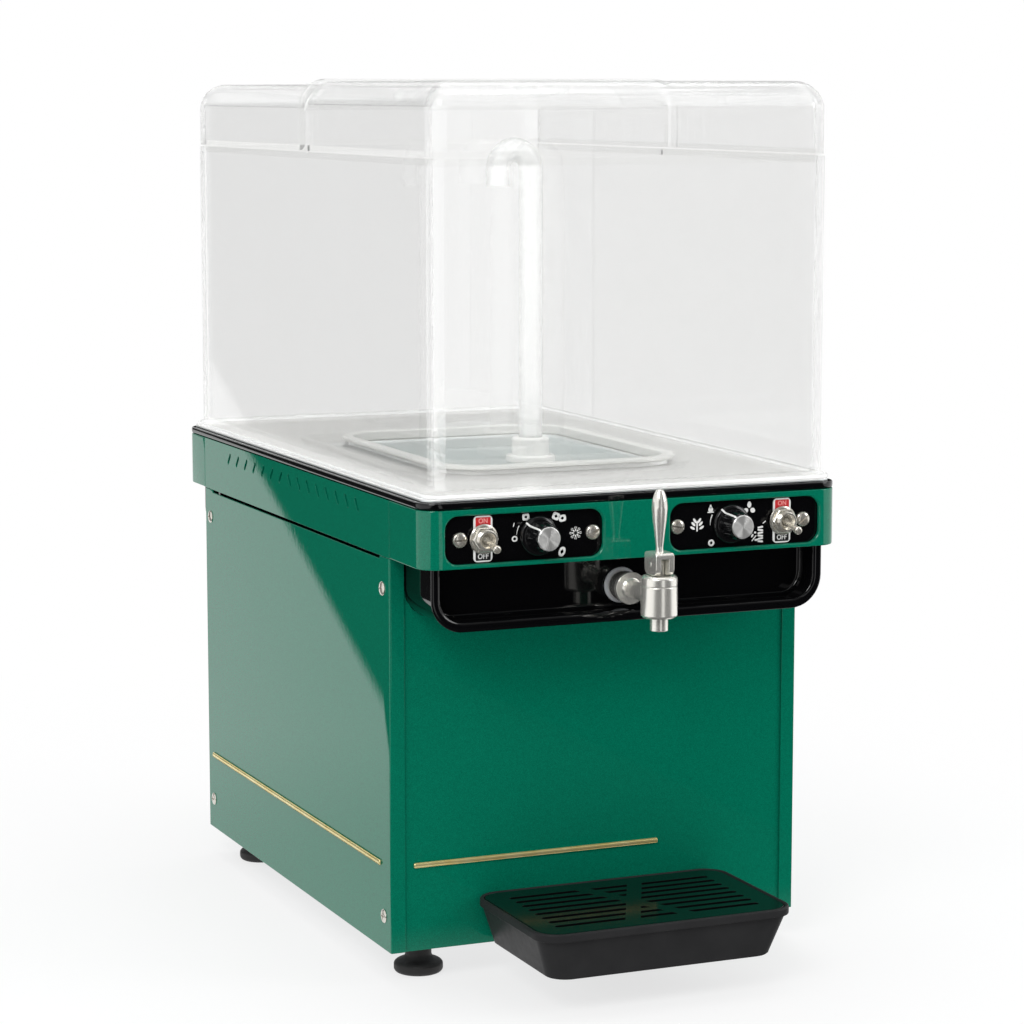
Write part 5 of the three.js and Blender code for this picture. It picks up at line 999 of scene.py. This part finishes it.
TRAY_LOW, TRAY_WALL, TRAY_RIM = (72.5, -242.5, 13), (80, -247.5, 13), (82.5, -250, 15.5)
tray_path = [(TRAY_LOW, 2.4, 21.8), (TRAY_LOW, 1.1, 22.0), (TRAY_LOW, 0.3, 22.6), (TRAY_LOW, 0, 23.6),
             (TRAY_WALL, 0, 45.6), (TRAY_WALL, -0.3, 46.2), (TRAY_WALL, -1.0, 46.5), (TRAY_RIM, 0.6, 46.5),
             (TRAY_RIM, 0.15, 46.7), (TRAY_RIM, 0, 47.2), (TRAY_RIM, 0, 50.3), (TRAY_RIM, 0.15, 50.9),
             (TRAY_RIM, 0.6, 51.35), (TRAY_RIM, 1.2, 51.5), (TRAY_RIM, 1.8, 51.4), (TRAY_RIM, 2.3, 51.0),
             (TRAY_RIM, 2.4, 50.4), (TRAY_RIM, 2.4, 47.9), (TRAY_WALL, 2.9, 47.9), (TRAY_WALL, 3.0, 47.2),
             (TRAY_LOW, 2.4, 26.4), (TRAY_LOW, 3.0, 25.0), (TRAY_LOW, 4.4, 24.2)]
add("charcoal_drip_tray", loft([tray_ring(*form, inset, z) for form, inset, z in tray_path]), "drip_tray",
    "charcoal_plastic", replaces=("drip_tray",), sharp=60)

GRILLE_Y = (FRONT_Y + TRAY_RIM[1]) / 2
SLOT_PITCH, SLOT_ROWS, BAND_HALF = 9.6, 8, 4.5
reach = SLOT_PITCH * (SLOT_ROWS - 1) / 2
lean = math.degrees(math.atan2(reach + SLOT_PITCH, 21))
slots = object_of("slots", combine(*[
    loft([flat(rounded(132, 4, 2, 0, GRILLE_Y - reach + SLOT_PITCH * row, 6), z) for z in (46, 54)])
    for row in range(SLOT_ROWS)]))
carve(slots, *[loft([flat(leaning(box_corners(60, BAND_HALF), 0, GRILLE_Y, way * lean), z) for z in (45, 55)])
               for way in (-1, 1)])
grille = object_of("slotted_grille", loft([tray_ring(*TRAY_RIM, inset, z) for inset, z in (
    (3.1, 48.2), (2.9, 48.4), (2.9, 50.6), (3.1, 51.0), (3.6, 51.2))]))
carve(grille, shape_of(slots))
dress(grille, "drip_grille", "gloss_black", "grille_black", replaces=("drip_grille",), edge=0.45)


# Feet, gold strips, gland of the supply lead

foot_profile = soften([(0, 0), (13.6, 0), (15, 1.6), (15, 5.5), (13.5, 7), (9.6, 8.4), (8, 10.4), (8, 19.7),
                       (4, 19.7), (4, 31.5), (0, 31.5)], 1.0)
for place, y in (("front", -119.5), ("rear", 178.5)):
    for side, name in SIDES:
        foot_name = place + "_" + name
        add("rubber_foot_" + foot_name, turned(foot_profile, (side * 107.5, y, 0), "Z", 44), "cabinet",
            "black_rubber", replaces=("foot_" + foot_name,), sharp=50)

STRIP_Z, STRIP_HALF, STRIP_DEPTH = 72.3, 1.6, 1.0
crowned_bar = [(0, -1), (0.55, -1), (0.8, -0.86), (0.62, -0.66), (0.9, -0.46), (1, -0.2), (1, 0.2),
               (0.9, 0.46), (0.62, 0.66), (0.8, 0.86), (0.55, 1), (0, 1)]


def strip_rings(start, end):
    """(place along, section) pairs: the section has two fine grooves beside its crown and rounded ends."""
    steps = [(start, 0.55), (start + 0.25, 0.85), (start + 0.8, 1), (end - 0.8, 1), (end - 0.25, 0.85),
             (end, 0.55)]
    return [(along, [(depth * STRIP_DEPTH * scale, STRIP_Z + height * STRIP_HALF * scale)
                     for depth, height in crowned_bar]) for along, scale in steps]


add("gold_trim_front", loft([[(x, FRONT_Y - depth, z) for depth, z in section]
                             for x, section in strip_rings(-119.8, 41.1)]),
    "cabinet", "gold_brass", replaces=("front_strip",), sharp=40)
for side, name in SIDES:
    add("gold_trim_" + name, loft([[(side * (135.3 + depth), y, z) for depth, z in section]
                                   for y, section in strip_rings(-129.5, 197.5)]),
        "cabinet", "gold_brass", replaces=("side_strip_" + name,), sharp=40)

gland_profile = soften([(4, 4.3), (9.8, 4.3), (11, 3.1), (11, 1.8), (7.7, 1.8), (7.7, -0.3), (11, -0.3),
                        (11, -1.4), (9.8, -2.6), (7.2, -2.8), (6.6, -2.2), (4, -2.2)], 0.25)
add("rubber_gland", turned(gland_profile, (-98, 208, 50), "Y", 40, wrap=True), "cabinet", "black_rubber",
    replaces=("cable_gland",), sharp=40)


# Stage: pale floor, plain surroundings, soft lamps

FLOOR_HALF, FLOOR_TONE = 9.0, 0.86
PAPER_HALF, PAPER_SPREAD, PAPER_FRONT = 0.262, 0.263, 0.27
UNLIT = 0.02


class Stage(Graph):
    """The floor's or the surroundings' node tree."""

    def times(self, first, second):
        return self.maths("MULTIPLY", first, second)

    def smooth(self, value, low, high, first, last):
        limits = {"Value": value, "From Min": low, "From Max": high, "To Min": first, "To Max": last}
        return self.node("ShaderNodeMapRange", limits, interpolation_type="SMOOTHSTEP").outputs["Result"]

    def outside(self, x, y, half):
        """How far a place lies beyond the side edge of the white paper, which widens backwards."""
        beyond = self.maths("SUBTRACT", self.maths("ABSOLUTE", x), half)
        return self.maths("SUBTRACT", beyond, self.times(self.maths("MAXIMUM", y, 0.0), PAPER_SPREAD))

    def far_light(self, x, y, room, start):
        """Paler surroundings well out to either side, and a strip straight ahead of the front."""
        wide, ahead = self.maths("ABSOLUTE", x), self.times(y, -1.0)
        edge = self.maths("SUBTRACT", wide, self.times(self.maths("ABSOLUTE", y), 0.72))
        sides = self.smooth(edge, room, room + 0.2, 0.0, 1.0)
        strip = self.smooth(self.maths("SUBTRACT", wide, self.times(ahead, 0.16)), -0.1, 0.0, 0.85, 0.0)
        strip = self.times(strip, self.smooth(ahead, start, start + 0.3, 0.0, 1.0))
        return self.maths("MAXIMUM", sides, strip)

    def finish(self, kind, seen, reflected):
        """Output that shows reflected only to mirror rays from the object's own surface, not through clear
        plastic, and seen to all others."""
        path = self.node("ShaderNodeLightPath")
        mirrored = self.maths("LESS_THAN", path.outputs["Transmission Depth"], 0.5)
        mirrored = self.times(path.outputs["Is Glossy Ray"], mirrored)
        self.node(kind, {"Surface": self.mix(mirrored, seen, reflected)})


def make_floor():
    mesh = bpy.data.meshes.new("floor")
    mesh.from_pydata(flat(box_corners(FLOOR_HALF, FLOOR_HALF), 0), [], [(0, 1, 2, 3)])
    floor = bpy.data.objects.new("floor", mesh)
    scene.collection.objects.link(floor)
    material = bpy.data.materials.new("floor")
    material.use_nodes = True
    mesh.materials.append(material)
    stage = Stage(material.node_tree)
    paint = stage.node("ShaderNodeBsdfDiffuse", {"Color": (FLOOR_TONE, FLOOR_TONE, FLOOR_TONE, 1)})
    white = stage.node("ShaderNodeEmission", {"Color": (1, 1, 1, 1)})
    place = stage.node("ShaderNodeNewGeometry").outputs["Position"]
    x, y = stage.node("ShaderNodeSeparateXYZ", {0: place}).outputs[:2]
    far = stage.maths("SQRT", stage.maths("ADD", stage.times(x, x), stage.times(y, y)))
    seen = stage.mix(stage.smooth(far, 0.3, 0.9, 0.72, 1.0), paint.outputs[0], white.outputs[0])
    side = stage.smooth(stage.outside(x, y, PAPER_HALF), -0.006, 0.007, 1.0, UNLIT)
    front = stage.smooth(stage.times(y, -1.0), 0.15, PAPER_FRONT, 1.0, UNLIT)
    # Painted shadow: the floor as mirrored in the object is dimmed to 0.8 near the middle and rises to full
    # strength by 0.7 m, standing for the object's shade on the floor.
    paper = stage.times(stage.times(side, front), stage.smooth(far, 0.2, 0.7, 0.8, 1.0))
    light = stage.maths("MAXIMUM", paper, stage.far_light(x, y, 0.35, 0.9))
    reflected = stage.node("ShaderNodeEmission", {"Strength": light})
    stage.finish("ShaderNodeOutputMaterial", seen, reflected.outputs[0])


def make_world():
    world = bpy.data.worlds.new("studio")
    scene.world = world
    world.use_nodes = True
    stage = Stage(world.node_tree)
    place = stage.node("ShaderNodeTexCoord").outputs["Generated"]
    x, y, z = stage.node("ShaderNodeSeparateXYZ", {0: place}).outputs
    paper = stage.times(stage.smooth(stage.outside(x, y, 0.0), -0.02, 0.03, 1.0, UNLIT),
                        stage.smooth(y, -0.1, 0.1, UNLIT, 1.0))
    around = stage.maths("MAXIMUM", paper, stage.far_light(x, y, 0.04, 0.3))
    light = stage.maths("MAXIMUM", around, stage.smooth(z, 0.35, 0.8, 0.0, 0.3))
    diffuse = stage.maths("GREATER_THAN", stage.node("ShaderNodeLightPath").outputs["Is Diffuse Ray"], 0.5)
    plain, soft, reflected = (stage.node("ShaderNodeBackground", settings).outputs[0] for settings in (
        {"Color": (1, 1, 1, 1), "Strength": 1.0}, {"Color": (0.98, 0.99, 1, 1), "Strength": 0.7},
        {"Strength": light}))
    stage.finish("ShaderNodeOutputWorld", stage.mix(diffuse, plain, soft), reflected)


def softbox(name, at, towards, size, watts):
    data = bpy.data.lights.new(name, "AREA")
    data.shape = "RECTANGLE"
    data.size, data.size_y = size
    data.energy = watts
    lamp = bpy.data.objects.new(name, data)
    scene.collection.objects.link(lamp)
    lamp.location = at
    x, y, z = (t - a for t, a in zip(towards, at))
    lamp.rotation_euler = (math.atan2(math.hypot(x, y), -z), 0, math.atan2(y, x) - TURN / 4)
    lamp.visible_camera = False
    lamp.visible_transmission = False


make_floor()
make_world()
softbox("key", (-1.5, -1.6, 1.9), (0, 0, 0.25), (1.1, 1.1), 26)
softbox("fill", (2.0, -1.4, 1.4), (0, 0, 0.25), (1.0, 1.4), 14)
softbox("top", (0.1, 0.3, 2.3), (0, 0, 0.3), (1.6, 1.6), 16)
